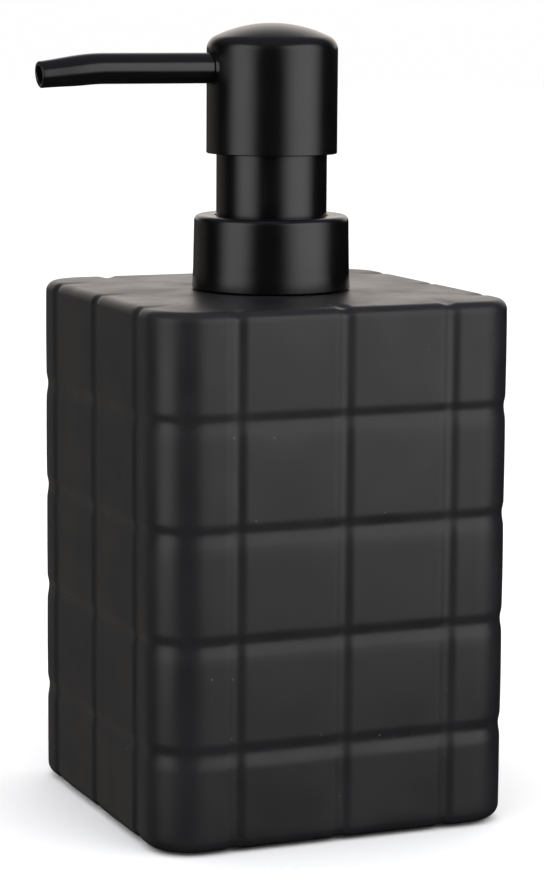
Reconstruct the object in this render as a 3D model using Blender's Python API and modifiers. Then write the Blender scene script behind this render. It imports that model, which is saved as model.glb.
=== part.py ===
"""Soap pump dispenser: a square quilted ceramic bottle with a screw-on lotion pump.

Metres, +Z up. The Z axis is the pump's axis, the bottle stands on z = 0 and the nozzle points along -X.
Run it with: blender --background --python part.py
"""

import math

import bmesh
import bpy
from mathutils import Matrix, Vector

MM = 0.001

# ---- fits -------------------------------------------------------------------------------------------
GAP = 0.3 * MM  # between two pieces that rest on, slide in or turn in each other
EDGE_FILLET = 0.4 * MM  # the small rounding of a turned piece's seen or leading edge
MERGE_REACH = 0.001 * MM  # points nearer than this are one point

# ---- bottle -----------------------------------------------------------------------------------------
BODY_WIDTH = 75.0 * MM  # across the flats, crest to crest
BODY_HEIGHT = 103.8 * MM
CORNER_RADIUS = 9.4 * MM
TOP_FILLET = 2.2 * MM
BASE_FILLET = 2.6 * MM
WALL = 5.0 * MM
FLOOR = 5.5 * MM
CEILING = 6.0 * MM
CAVITY_CORNER_RADIUS = 6.0 * MM
CAVITY_FILLET = 3.0 * MM
GROOVE_WIDTH = 5.0 * MM
GROOVE_DEPTH = 0.7 * MM
CORNER_TILE = 15.4 * MM  # from the outermost groove of the front or back to the side of the bottle
SIDE_CORNER_TILE = 13.9 * MM  # the same on the left and right faces
GROOVES_PER_FACE = 3
TILE_ROWS = 5
BOTTOM_ROW = 19.3 * MM  # height of the lowest row of tiles

# ---- non-slip pad under the bottle ------------------------------------------------------------------
PAD_MARGIN = 11.5 * MM  # from the bottle's side to the pad
PAD_CORNER_RADIUS = 5.0 * MM
PAD_THICKNESS = 1.6 * MM
PAD_PROUD = 0.4 * MM  # how far the pad stands out below the glazed foot

# ---- threaded neck, glued into the mouth ------------------------------------------------------------
NECK_ROOT = 11.8 * MM  # radius between the threads
NECK_WALL = 1.6 * MM
NECK_HEIGHT = 7.8 * MM  # above its flange
NECK_FLANGE_THICKNESS = 1.0 * MM
BARREL_STEP = 0.6 * MM  # how far the barrel in the mouth stands out past the thread's root
BARREL_BELOW_CEILING = 1.0 * MM
O_RING_PROUD = 0.4 * MM  # how far the ring stands out of its groove
O_RING_THICKNESS = 1.2 * MM
O_RING_DEPTH = 3.0 * MM  # of its middle, below the bottle's top
THREAD_PITCH = 3.6 * MM
THREAD_RIDGE = 0.8 * MM  # radius of the rounded ridge
THREAD_TURNS = 1.1
THREAD_CLEARANCE = 0.5 * MM  # from the neck's flange to the lower end of its ridge
THREAD_TAPER_STEPS = 2  # steps over which a ridge's end grows to its full size
THREAD_END_SCALE = 0.4  # relative radius of a ridge's end
THREAD_OVERLAP = 0.65 * MM  # how far the two threads reach past each other

# ---- collar that screws on the neck -----------------------------------------------------------------
COLLAR_SHELF = 4.4 * MM  # width of the ledge around the chimney
COLLAR_FOOT_FLARE = 0.4 * MM
COLLAR_FOOT_HEIGHT = 4.0 * MM
COLLAR_TOP_FILLET = 1.2 * MM
SHELL_WALL = 0.7 * MM
RING_WALL = 1.2 * MM
RING_WEB = 0.8 * MM
RING_FOOT_CLEARANCE = 0.6 * MM  # between the ring's foot and the neck's flange
CHIMNEY_WALL = 1.2 * MM
CHIMNEY_FLANGE = 0.7 * MM
CHIMNEY_FLANGE_WIDTH = 1.6 * MM
CHIMNEY_IN_HEAD = 2.0 * MM  # how far the chimney reaches up into the raised head

# ---- pump -------------------------------------------------------------------------------------------
GASKET_THICKNESS = 1.0 * MM
HOUSING_BORE = 6.2 * MM
HOUSING_WALL = 1.1 * MM
HOUSING_FLANGE_THICKNESS = 1.0 * MM
HOUSING_FLOOR = 1.6 * MM
VENT_RADIUS = 0.6 * MM
GUIDE_FLANGE_WIDTH = 1.3 * MM  # past the housing's wall
GUIDE_FLANGE_THICKNESS = 0.8 * MM
GUIDE_SPIGOT = 3.7 * MM  # length inside the housing
GUIDE_BOSS_RADIUS = 5.2 * MM
GUIDE_BOSS_HEIGHT = 4.4 * MM
STEM_RADIUS = 3.0 * MM
STEM_BORE = 1.9 * MM
STEM_STOP_CLEARANCE = 1.8 * MM  # to the housing's bore
STEM_STOP_HEIGHT = 1.7 * MM
STEM_PORT_RADIUS = 0.8 * MM
PISTON_HEIGHT = 7.0 * MM
PISTON_LIP = 1.6 * MM
PISTON_LIP_DEPTH = 1.3 * MM
PISTON_SLIP = 0.8 * MM  # travel of the piston on its stem, which opens the stem's ports
PLUG_HEAD_CLEARANCE = 1.2 * MM  # to the housing's bore
PLUG_HEAD_HEIGHT = 2.0 * MM
PLUG_SHANK_LENGTH = 9.0 * MM
SPRING_CLEARANCE = 1.7 * MM  # to the housing's bore
SPRING_WIRE = 0.4 * MM  # wire radius
SPRING_COILS = 7
SPRING_END_RISE = 0.88 * MM  # rise of each closed end coil
SPRING_PACKED = 17.2 * MM  # from the chamber's floor to the plug when the head is pressed right down
BALL_RADIUS = 2.4 * MM
BALL_CLEARANCE = 0.8 * MM
BALL_SEAT_OVERLAP = 0.7 * MM
BALL_SEAT_HEIGHT = 1.6 * MM
BALL_LIFT = 1.5 * MM
CAGE_RIM = 1.2 * MM
CAGE_HOLD = 0.6 * MM  # how far the cage reaches in over the ball
CAGE_HUB_HEIGHT = 2.4 * MM
TUBE_RADIUS = 2.75 * MM
TUBE_WALL = 0.8 * MM
TUBE_SOCKET_DEPTH = 9.0 * MM
TUBE_SOCKET_WALL = 1.2 * MM
TUBE_END_CLEARANCE = 3.0 * MM  # from the bottle's inner floor

# ---- head -------------------------------------------------------------------------------------------
STROKE = 11.0 * MM  # travel of the head
HEAD_CLEARANCE = 0.7 * MM  # around the chimney
HEAD_WALL = 1.3 * MM
HEAD_OVER_COLLAR = 1.2 * MM  # what is left between rim and collar when the head is pressed
NOZZLE_OVER_CHIMNEY = 0.8 * MM  # what is left between nozzle and chimney then
HEAD_DOME = 26.0 * MM  # radius of the crown
HEAD_SHOULDER = 3.0 * MM  # radius of the rounding between crown and side
NOZZLE_DROP = 8.8 * MM  # from the head's top to the nozzle's middle
NOZZLE_RADIUS = 3.0 * MM
NOZZLE_TIP_RADIUS = 2.6 * MM
NOZZLE_BORE = 1.8 * MM
NOZZLE_REACH = 48.7 * MM
NOZZLE_BEND = 37.0 * MM
NOZZLE_BEND_ANGLE = math.radians(5.8)
NOZZLE_BEND_LENGTH = 4.0 * MM
NOZZLE_IN_BOSS = 2.8 * MM
CORE_COLUMN_RADIUS = 5.0 * MM
CORE_SOCKET_DEPTH = 6.9 * MM
CORE_SOCKET_LIFT = 4.0 * MM  # from the stem's top to the nozzle's middle
CORE_BOSS_WALL = 1.0 * MM
CORE_CHANNEL = 1.5 * MM
CORE_RISER = 1.2 * MM  # the narrower way up from the stem into the channel
CORE_DISC_CLEARANCE = 1.3 * MM  # to the head's inner wall
CORE_DISC_THICKNESS = 1.4 * MM
CORE_DISC_DROP = 4.3 * MM  # from the head's top to the disc's top

# ---- fineness ---------------------------------------------------------------------------------------
WIDE_SEGMENTS = 32
NARROW_SEGMENTS = 24
GROOVE_SEGMENTS = 16
SMALL_SEGMENTS = 16  # channel and ball
TINY_SEGMENTS = 8  # vent, ports and riser
RING_SECTION_SEGMENTS = 6
CORNER_STEPS = 6
FILLET_STEPS = 3
BEND_STEPS = 4
DOME_STEPS = 4
THREAD_STEPS = 20  # round one turn
SPRING_STEPS = 12  # round one coil

# ---- heights and radii that follow ------------------------------------------------------------------
BODY_HALF = BODY_WIDTH / 2
BODY_TOP = PAD_PROUD + BODY_HEIGHT
CAVITY_FLOOR = PAD_PROUD + FLOOR
CAVITY_TOP = BODY_TOP - CEILING
NECK_BORE = NECK_ROOT - NECK_WALL
BARREL_RADIUS = NECK_ROOT + BARREL_STEP
O_RING_RADIUS = BARREL_RADIUS + O_RING_PROUD - O_RING_THICKNESS / 2
MOUTH_RADIUS = BARREL_RADIUS + O_RING_PROUD + GAP
GROOVE_SPACING = (BODY_WIDTH - 2 * CORNER_TILE) / (GROOVES_PER_FACE - 1)
SIDE_GROOVE_SPACING = (BODY_WIDTH - 2 * SIDE_CORNER_TILE) / (GROOVES_PER_FACE - 1)
ROW_HEIGHT = (BODY_HEIGHT - BOTTOM_ROW) / (TILE_ROWS - 1)
PAD_WIDTH = BODY_WIDTH - 2 * PAD_MARGIN
FLANGE_BOTTOM = BODY_TOP + GAP
FLANGE_TOP = FLANGE_BOTTOM + NECK_FLANGE_THICKNESS
NECK_TOP = FLANGE_TOP + NECK_HEIGHT
NECK_RIDGE = NECK_ROOT + GAP  # radius of the middle of the neck's ridge
NECK_CREST = NECK_RIDGE + THREAD_RIDGE
NECK_THREAD_START = FLANGE_TOP + THREAD_CLEARANCE + THREAD_RIDGE  # height of the ridge's lower end
RING_CREST = NECK_CREST - THREAD_OVERLAP
RING_BORE = NECK_CREST + GAP
RING_RADIUS = RING_BORE + RING_WALL
SHELL_BORE = RING_RADIUS + GAP
COLLAR_RADIUS = SHELL_BORE + SHELL_WALL
CHIMNEY_RADIUS = COLLAR_RADIUS - COLLAR_SHELF
CHIMNEY_BORE = CHIMNEY_RADIUS - CHIMNEY_WALL
HEAD_BORE = CHIMNEY_RADIUS + HEAD_CLEARANCE
HEAD_RADIUS = HEAD_BORE + HEAD_WALL
BOSS_END = CHIMNEY_BORE - 2 * GAP  # reach of the nozzle's boss, which goes down inside the chimney
NOZZLE_ROOT = BOSS_END - NOZZLE_IN_BOSS
GASKET_BOTTOM = NECK_TOP + GAP
GASKET_TOP = GASKET_BOTTOM + GASKET_THICKNESS
HOUSING_FLANGE_BOTTOM = GASKET_TOP + GAP
HOUSING_TOP = HOUSING_FLANGE_BOTTOM + HOUSING_FLANGE_THICKNESS
HOUSING_RADIUS = HOUSING_BORE + HOUSING_WALL
GUIDE_FLANGE_RADIUS = HOUSING_RADIUS + GUIDE_FLANGE_WIDTH
PISTON_RADIUS = HOUSING_BORE - GAP
SPRING_RADIUS = HOUSING_BORE - SPRING_CLEARANCE - SPRING_WIRE
SPRING_CORE = SPRING_RADIUS - SPRING_WIRE - GAP  # radius of what stands inside the spring
STEM_STOP_RADIUS = HOUSING_BORE - STEM_STOP_CLEARANCE
BALL_CHAMBER = BALL_RADIUS + BALL_CLEARANCE
BALL_SEAT = BALL_RADIUS - BALL_SEAT_OVERLAP
TUBE_SOCKET = TUBE_RADIUS + GAP
SPIGOT_RADIUS = max(BALL_CHAMBER, TUBE_SOCKET) + TUBE_SOCKET_WALL
HOUSING_FLANGE_RADIUS = RING_CREST - GAP
WEB_BOTTOM = HOUSING_TOP + GAP
WEB_TOP = WEB_BOTTOM + RING_WEB
CHIMNEY_BOTTOM = WEB_TOP + GAP
COLLAR_TOP = CHIMNEY_BOTTOM + CHIMNEY_FLANGE + GAP + SHELL_WALL
HEAD_RIM = COLLAR_TOP + HEAD_OVER_COLLAR + STROKE
CHIMNEY_TOP = HEAD_RIM + CHIMNEY_IN_HEAD
NOZZLE_Z = CHIMNEY_TOP + NOZZLE_OVER_CHIMNEY + STROKE + NOZZLE_RADIUS
HEAD_TOP = NOZZLE_Z + NOZZLE_DROP
STEM_TOP = NOZZLE_Z - CORE_SOCKET_LIFT
GUIDE_BOTTOM = HOUSING_TOP - GUIDE_SPIGOT
STOP_TOP = GUIDE_BOTTOM - GAP
STOP_BOTTOM = STOP_TOP - STEM_STOP_HEIGHT
PISTON_TOP = STOP_BOTTOM - GAP - PISTON_SLIP
PISTON_BOTTOM = PISTON_TOP - PISTON_HEIGHT
PLUG_TOP = PISTON_BOTTOM - GAP
PLUG_BOTTOM = PLUG_TOP - PLUG_HEAD_HEIGHT
CHAMBER_FLOOR = PLUG_BOTTOM - STROKE - SPRING_PACKED
CAGE_BOTTOM = CHAMBER_FLOOR + GAP
CAGE_TOP = CAGE_BOTTOM + CAGE_RIM
SEAT_SLOPE = math.atan2(BALL_SEAT_HEIGHT, BALL_CHAMBER - BALL_SEAT)
# The ball's middle stands its radius, and the gap, away from the cone's wall.
BALL_OVER_SEAT = (BALL_RADIUS + GAP - BALL_SEAT * math.sin(SEAT_SLOPE)) / math.cos(SEAT_SLOPE)
BALL_MIDDLE = CAGE_BOTTOM - GAP - BALL_LIFT - BALL_RADIUS
SEAT_BOTTOM = BALL_MIDDLE - BALL_OVER_SEAT
SEAT_TOP = SEAT_BOTTOM + BALL_SEAT_HEIGHT
SOCKET_BOTTOM = SEAT_BOTTOM - TUBE_SOCKET_DEPTH
TUBE_TOP = SEAT_BOTTOM - GAP
TUBE_BOTTOM = CAVITY_FLOOR + TUBE_END_CLEARANCE
OVERRUN = 1.0 * MM  # how far a cutter runs past the face that it opens


# ---- tools ------------------------------------------------------------------------------------------
def clear_scene():
    for thing in list(bpy.data.objects):
        bpy.data.objects.remove(thing)


def new_collection(name):
    collection = bpy.data.collections.new(name)
    bpy.context.scene.collection.children.link(collection)
    return collection


def finish_of(name, colour, roughness, metallic=0.0):
    """A Principled material. colour is linear red, green and blue."""
    material = bpy.data.materials.new(name)
    material.use_nodes = True
    shader = material.node_tree.nodes["Principled BSDF"]
    shader.inputs["Base Color"].default_value = (*colour, 1.0)
    shader.inputs["Roughness"].default_value = roughness
    shader.inputs["Metallic"].default_value = metallic
    material.diffuse_color = (*colour, 1.0)
    return material


def add_piece(name, mesh, material):
    piece = bpy.data.objects.new(name, mesh)
    PIECES.objects.link(piece)
    mesh.materials.append(material)
    return piece


def add_cutter(name, mesh, collection=None):
    cutter = bpy.data.objects.new(name, mesh)
    (collection or CUTTERS).objects.link(cutter)
    cutter.hide_render = True
    cutter.display_type = "WIRE"
    return cutter


def mesh_from(name, shape):
    """Turns a bmesh into a mesh with its faces pointing out."""
    bmesh.ops.recalc_face_normals(shape, faces=shape.faces)
    mesh = bpy.data.meshes.new(name)
    shape.to_mesh(mesh)
    shape.free()
    return mesh


def rounded(corners):
    """A closed outline: each (x, z, radius) corner with a radius becomes an arc that meets both its sides."""
    outline = []
    for index, (x, z, radius) in enumerate(corners):
        corner = Vector((x, z))
        if radius == 0:
            outline.append(corner)
            continue
        before = (Vector(corners[index - 1][:2]) - corner).normalized()
        after = (Vector(corners[(index + 1) % len(corners)][:2]) - corner).normalized()
        half_angle = before.angle(after) / 2
        centre = corner + (before + after).normalized() * radius / math.sin(half_angle)
        start = corner + before * radius / math.tan(half_angle) - centre
        end = corner + after * radius / math.tan(half_angle) - centre
        turn = start.angle_signed(end)
        for step in range(FILLET_STEPS + 1):
            outline.append(centre + Matrix.Rotation(-turn * step / FILLET_STEPS, 2) @ start)
    return outline


def turned_mesh(name, outline, closed=True):
    """A wire profile in the XZ plane, for the Screw modifier. It runs down its outer side."""
    mesh = bpy.data.meshes.new(name)
    points = [(x, 0.0, z) for x, z in outline]
    last = len(points) if closed else len(points) - 1
    edges = [(index, (index + 1) % len(points)) for index in range(last)]
    mesh.from_pydata(points, edges, [])
    return mesh


def turn(piece, segments):
    screw = piece.modifiers.new("Screw", "SCREW")
    screw.steps = segments
    screw.render_steps = segments
    screw.use_merge_vertices = True
    screw.merge_threshold = MERGE_REACH
    screw.use_smooth_shade = True
    return piece


def sleeve(outer, inner, top, bottom):
    """Corners of a plain ring's profile."""
    return [(outer, top, 0), (outer, bottom, 0), (inner, bottom, 0), (inner, top, 0)]


def turned_piece(name, corners, segments, material, closed=True):
    """A turned solid from (radius, z, fillet) corners. One that isn't closed starts and ends on the axis."""
    outline = rounded(corners) if closed else [(x, z) for x, z, _ in corners]
    return turn(add_piece(name, turned_mesh(name, outline, closed), material), segments)


def drill(piece, name, radius, start, end, segments=NARROW_SEGMENTS):
    """Cuts a round hole between two points."""
    cut(piece, add_cutter(name, rod_mesh(name, radius, start, end, segments)))


def rod_mesh(name, radius, start, end, segments=NARROW_SEGMENTS):
    """A cylinder between two points."""
    start, end = Vector(start), Vector(end)
    along = end - start
    shape = bmesh.new()
    bmesh.ops.create_cone(
        shape, cap_ends=True, segments=segments, radius1=radius, radius2=radius, depth=along.length
    )
    place = Matrix.Translation((start + end) / 2) @ along.to_track_quat("Z", "Y").to_matrix().to_4x4()
    bmesh.ops.transform(shape, matrix=place, verts=shape.verts)
    return mesh_from(name, shape)


def rounded_box_mesh(name, width, bottom, top, corner, top_fillet=0.0, bottom_fillet=0.0):
    """A square block with rounded uprights and rounded top and bottom edges."""
    shape = bmesh.new()
    bmesh.ops.create_cube(shape, size=1.0)
    place = Matrix.Translation((0, 0, (bottom + top) / 2)) @ Matrix.Diagonal((width, width, top - bottom, 1))
    bmesh.ops.transform(shape, matrix=place, verts=shape.verts)

    def upright(edge):
        return abs(edge.verts[0].co.z - edge.verts[1].co.z) > (top - bottom) / 2

    def at_height(height):
        return [edge for edge in shape.edges if all(abs(v.co.z - height) < MERGE_REACH for v in edge.verts)]

    bevel = {"profile": 0.5, "affect": "EDGES", "clamp_overlap": True, "offset_type": "OFFSET"}
    bmesh.ops.bevel(
        shape, geom=[e for e in shape.edges if upright(e)], offset=corner, segments=CORNER_STEPS, **bevel
    )
    for height, fillet in ((top, top_fillet), (bottom, bottom_fillet)):
        if fillet:
            bmesh.ops.bevel(shape, geom=at_height(height), offset=fillet, segments=FILLET_STEPS, **bevel)
    return mesh_from(name, shape)


def curve_mesh(name, points, radius, scale_at=None, closed=False, resolution=2):
    """A solid tube along the points, as a mesh. scale_at gives its relative radius at each point."""
    curve = bpy.data.curves.new(name, "CURVE")
    curve.dimensions = "3D"
    curve.bevel_depth = radius
    curve.bevel_resolution = resolution
    curve.use_fill_caps = not closed
    spline = curve.splines.new("POLY")
    spline.points.add(len(points) - 1)
    for index, point in enumerate(points):
        spline.points[index].co = (*point, 1.0)
        spline.points[index].radius = scale_at[index] if scale_at else 1.0
    spline.use_cyclic_u = closed
    guide = bpy.data.objects.new(name, curve)
    CUTTERS.objects.link(guide)
    bpy.context.view_layer.update()
    graph = bpy.context.evaluated_depsgraph_get()
    mesh = bpy.data.meshes.new_from_object(guide.evaluated_get(graph))
    bpy.data.objects.remove(guide)
    shape = bmesh.new()
    shape.from_mesh(mesh)
    bmesh.ops.remove_doubles(shape, verts=shape.verts, dist=MERGE_REACH)
    bpy.data.meshes.remove(mesh)
    return mesh_from(name, shape)


def cut(piece, cutter, operation="DIFFERENCE"):
    boolean = piece.modifiers.new(cutter.name, "BOOLEAN")
    boolean.operation = operation
    boolean.solver = "EXACT"
    boolean.object = cutter


def thread_mesh(name, radius, start_turn, start_z):
    """A rounded right-hand ridge that fades in and out at its ends."""
    count = round(THREAD_TURNS * THREAD_STEPS)
    points, scales = [], []
    for step in range(count + 1):
        turns = step / THREAD_STEPS
        angle = math.tau * (start_turn + turns)
        points.append((radius * math.cos(angle), radius * math.sin(angle), start_z + THREAD_PITCH * turns))
        grown = min(step, count - step) / THREAD_TAPER_STEPS
        scales.append(min(1.0, THREAD_END_SCALE + (1 - THREAD_END_SCALE) * grown))
    return curve_mesh(name, points, THREAD_RIDGE, scales)


# ---- pieces -----------------------------------------------------------------------------------------
def groove_hoop_path(rod_radius, height):
    """A rounded square around the bottle whose rod sinks GROOVE_DEPTH into its wall."""
    stand_off = rod_radius - GROOVE_DEPTH
    centre = BODY_HALF - CORNER_RADIUS
    radius = CORNER_RADIUS + stand_off
    points = []
    for quarter in range(4):
        middle = Matrix.Rotation(quarter * math.pi / 2, 2) @ Vector((centre, centre))
        for step in range(CORNER_STEPS + 1):
            angle = math.pi / 2 * (quarter + step / CORNER_STEPS)
            points.append((middle.x + radius * math.cos(angle), middle.y + radius * math.sin(angle), height))
    return points


def bottle():
    """Square ceramic bottle, cast hollow, with a shallow quilted pattern and a round mouth."""
    mesh = rounded_box_mesh(
        "bottle", BODY_WIDTH, PAD_PROUD, BODY_TOP, CORNER_RADIUS, TOP_FILLET, BASE_FILLET
    )
    piece = add_piece("bottle", mesh, finish_of("black glazed ceramic", (0.035, 0.035, 0.038), 0.5))

    grooves = bpy.data.collections.new("groove_cutters")
    CUTTERS.children.link(grooves)
    rod_radius = (GROOVE_WIDTH**2 / 4 + GROOVE_DEPTH**2) / (2 * GROOVE_DEPTH)
    stand_off = BODY_HALF + rod_radius - GROOVE_DEPTH
    for side in range(4):
        spin = Matrix.Rotation(side * math.pi / 2, 3, "Z")
        spacing = SIDE_GROOVE_SPACING if side % 2 else GROOVE_SPACING
        for index in range(GROOVES_PER_FACE):
            along = (index - (GROOVES_PER_FACE - 1) / 2) * spacing
            low = spin @ Vector((along, -stand_off, PAD_PROUD - OVERRUN))
            high = spin @ Vector((along, -stand_off, BODY_TOP + OVERRUN))
            name = f"upright_groove_{side}_{index}"
            add_cutter(name, rod_mesh(name, rod_radius, low, high, GROOVE_SEGMENTS), grooves)
    for index in range(TILE_ROWS - 1):
        height = PAD_PROUD + BOTTOM_ROW + index * ROW_HEIGHT
        name = f"level_groove_{index}"
        path = groove_hoop_path(rod_radius, height)
        hoop = curve_mesh(name, path, rod_radius, closed=True, resolution=(GROOVE_SEGMENTS - 4) // 2)
        add_cutter(name, hoop, grooves)
    quilting = piece.modifiers.new("quilting", "BOOLEAN")
    quilting.operand_type = "COLLECTION"
    quilting.solver = "EXACT"
    quilting.collection = grooves

    cavity = rounded_box_mesh(
        "cavity", BODY_WIDTH - 2 * WALL, CAVITY_FLOOR, CAVITY_TOP, CAVITY_CORNER_RADIUS,
        CAVITY_FILLET, CAVITY_FILLET,
    )
    cut(piece, add_cutter("cavity", cavity))
    inside, outside = (0, 0, CAVITY_TOP - OVERRUN), (0, 0, BODY_TOP + OVERRUN)
    drill(piece, "mouth", MOUTH_RADIUS, inside, outside, WIDE_SEGMENTS)
    recess = rounded_box_mesh(
        "pad_recess", PAD_WIDTH + 2 * GAP, -OVERRUN, PAD_THICKNESS + GAP, PAD_CORNER_RADIUS + GAP
    )
    cut(piece, add_cutter("pad_recess", recess))


def base_pad():
    """Thin foam rubber pad that keeps the glazed foot off the basin."""
    mesh = rounded_box_mesh("base_pad", PAD_WIDTH, 0.0, PAD_THICKNESS, PAD_CORNER_RADIUS)
    add_piece("base_pad", mesh, finish_of("black foam rubber", (0.02, 0.02, 0.02), 0.9))


def neck_insert():
    """Flanged plastic neck with the outer thread, glued into the bottle's mouth."""
    barrel_bottom = CAVITY_TOP - BARREL_BELOW_CEILING
    groove_middle = BODY_TOP - O_RING_DEPTH
    groove_half = O_RING_THICKNESS / 2 + GAP
    groove_floor = O_RING_RADIUS - O_RING_THICKNESS / 2 - GAP
    piece = turned_piece(
        "neck_insert",
        [
            (NECK_ROOT, NECK_TOP, EDGE_FILLET),
            (NECK_ROOT, FLANGE_TOP, 0),
            (RING_RADIUS, FLANGE_TOP, 0),
            (RING_RADIUS, FLANGE_BOTTOM, 0),
            (BARREL_RADIUS, FLANGE_BOTTOM, 0),
            (BARREL_RADIUS, groove_middle + groove_half, 0),
            (groove_floor, groove_middle + groove_half, 0),
            (groove_floor, groove_middle - groove_half, 0),
            (BARREL_RADIUS, groove_middle - groove_half, 0),
            (BARREL_RADIUS, barrel_bottom, 0),
            (NECK_BORE, barrel_bottom, 0),
            (NECK_BORE, NECK_TOP, 0),
        ],
        WIDE_SEGMENTS,
        BLACK_PLASTIC,
    )
    thread = thread_mesh("neck_thread", NECK_RIDGE, 0.0, NECK_THREAD_START)
    cut(piece, add_cutter("neck_thread", thread), "UNION")


def mouth_o_ring():
    """Rubber ring that seals the neck in the ceramic mouth."""
    bpy.ops.mesh.primitive_torus_add(
        major_segments=WIDE_SEGMENTS,
        minor_segments=RING_SECTION_SEGMENTS,
        major_radius=O_RING_RADIUS,
        minor_radius=O_RING_THICKNESS / 2,
        location=(0, 0, BODY_TOP - O_RING_DEPTH),
    )
    ring = bpy.context.object
    ring.name = "mouth_o_ring"
    for collection in list(ring.users_collection):
        collection.objects.unlink(ring)
    PIECES.objects.link(ring)
    ring.data.shade_smooth()
    ring.data.materials.append(RUBBER)


def neck_gasket():
    """Flat washer between the neck's rim and the pump's flange."""
    ring = sleeve(NECK_ROOT, HOUSING_RADIUS + GAP, GASKET_TOP, GASKET_BOTTOM)
    turned_piece("neck_gasket", ring, WIDE_SEGMENTS, RUBBER)


def closure_ring():
    """Inner plastic cap: the thread that grips the neck and the web that holds the pump down."""
    hole = GUIDE_FLANGE_RADIUS + GAP
    foot = FLANGE_TOP + RING_FOOT_CLEARANCE
    piece = turned_piece(
        "closure_ring",
        [
            (RING_RADIUS, WEB_TOP, EDGE_FILLET),
            (RING_RADIUS, foot, 0),
            (RING_BORE, foot, 0),
            (RING_BORE, WEB_BOTTOM, 0),
            (hole, WEB_BOTTOM, 0),
            (hole, WEB_TOP, 0),
        ],
        WIDE_SEGMENTS,
        BLACK_PLASTIC,
    )
    ridge_radius = RING_CREST + THREAD_RIDGE
    first_z = foot + THREAD_RIDGE
    start_turn = (first_z - (NECK_THREAD_START - THREAD_PITCH / 2)) / THREAD_PITCH
    thread = thread_mesh("ring_thread", ridge_radius, start_turn, first_z)
    cut(piece, add_cutter("ring_thread", thread), "UNION")


def closure_shell():
    """Coated collar that covers the closure ring."""
    flare = COLLAR_RADIUS + COLLAR_FOOT_FLARE
    foot = BODY_TOP + GAP
    hole = CHIMNEY_RADIUS + GAP
    turned_piece(
        "closure_shell",
        [
            (COLLAR_RADIUS, COLLAR_TOP, COLLAR_TOP_FILLET),
            (COLLAR_RADIUS, foot + COLLAR_FOOT_HEIGHT, 0),
            (flare, foot + COLLAR_FOOT_HEIGHT / 4, 0),
            (flare, foot, 0),
            (SHELL_BORE, foot, 0),
            (SHELL_BORE, COLLAR_TOP - SHELL_WALL, COLLAR_TOP_FILLET - SHELL_WALL),
            (hole, COLLAR_TOP - SHELL_WALL, 0),
            (hole, COLLAR_TOP, 0),
        ],
        WIDE_SEGMENTS,
        BLACK_COATING,
    )


def chimney_sleeve():
    """Coated sleeve that stands up from the collar; the head slides down over it."""
    flange_radius = CHIMNEY_RADIUS + CHIMNEY_FLANGE_WIDTH
    turned_piece(
        "chimney_sleeve",
        [
            (CHIMNEY_RADIUS, CHIMNEY_TOP, EDGE_FILLET),
            (CHIMNEY_RADIUS, CHIMNEY_BOTTOM + CHIMNEY_FLANGE, 0),
            (flange_radius, CHIMNEY_BOTTOM + CHIMNEY_FLANGE, 0),
            (flange_radius, CHIMNEY_BOTTOM, 0),
            (CHIMNEY_BORE, CHIMNEY_BOTTOM, 0),
            (CHIMNEY_BORE, CHIMNEY_TOP, 0),
        ],
        WIDE_SEGMENTS,
        BLACK_COATING,
    )


def pump_housing():
    """Pump cylinder with its flange, ball seat and dip tube socket, open right through."""
    piece = turned_piece(
        "pump_housing",
        [
            (HOUSING_FLANGE_RADIUS, HOUSING_TOP, 0),
            (HOUSING_FLANGE_RADIUS, HOUSING_FLANGE_BOTTOM, 0),
            (HOUSING_RADIUS, HOUSING_FLANGE_BOTTOM, 0),
            (HOUSING_RADIUS, CHAMBER_FLOOR - HOUSING_FLOOR, HOUSING_FLOOR),
            (SPIGOT_RADIUS, CHAMBER_FLOOR - HOUSING_FLOOR, 0),
            (SPIGOT_RADIUS, SOCKET_BOTTOM, 0),
            (TUBE_SOCKET, SOCKET_BOTTOM, 0),
            (TUBE_SOCKET, SEAT_BOTTOM, 0),
            (BALL_SEAT, SEAT_BOTTOM, 0),
            (BALL_CHAMBER, SEAT_TOP, 0),
            (BALL_CHAMBER, CHAMBER_FLOOR, 0),
            (HOUSING_BORE, CHAMBER_FLOOR, 0),
            (HOUSING_BORE, HOUSING_TOP, 0),
        ],
        NARROW_SEGMENTS,
        CLEAR_PLASTIC,
    )
    vent_z = GUIDE_BOTTOM - STEM_STOP_HEIGHT
    drill(piece, "air_vent", VENT_RADIUS, (0, 0, vent_z), (HOUSING_RADIUS + OVERRUN, 0, vent_z), TINY_SEGMENTS)


def stem_guide():
    """Snap-in bush that closes the housing and guides the stem."""
    hole = STEM_RADIUS + GAP
    spigot = HOUSING_BORE - GAP
    bottom = WEB_BOTTOM
    flange_top = bottom + GUIDE_FLANGE_THICKNESS
    turned_piece(
        "stem_guide",
        [
            (GUIDE_BOSS_RADIUS, flange_top + GUIDE_BOSS_HEIGHT, EDGE_FILLET),
            (GUIDE_BOSS_RADIUS, flange_top, 0),
            (GUIDE_FLANGE_RADIUS, flange_top, 0),
            (GUIDE_FLANGE_RADIUS, bottom, 0),
            (spigot, bottom, 0),
            (spigot, GUIDE_BOTTOM, EDGE_FILLET),
            (hole, GUIDE_BOTTOM, 0),
            (hole, flange_top + GUIDE_BOSS_HEIGHT, 0),
        ],
        NARROW_SEGMENTS,
        BLACK_PLASTIC,
    )


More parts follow.
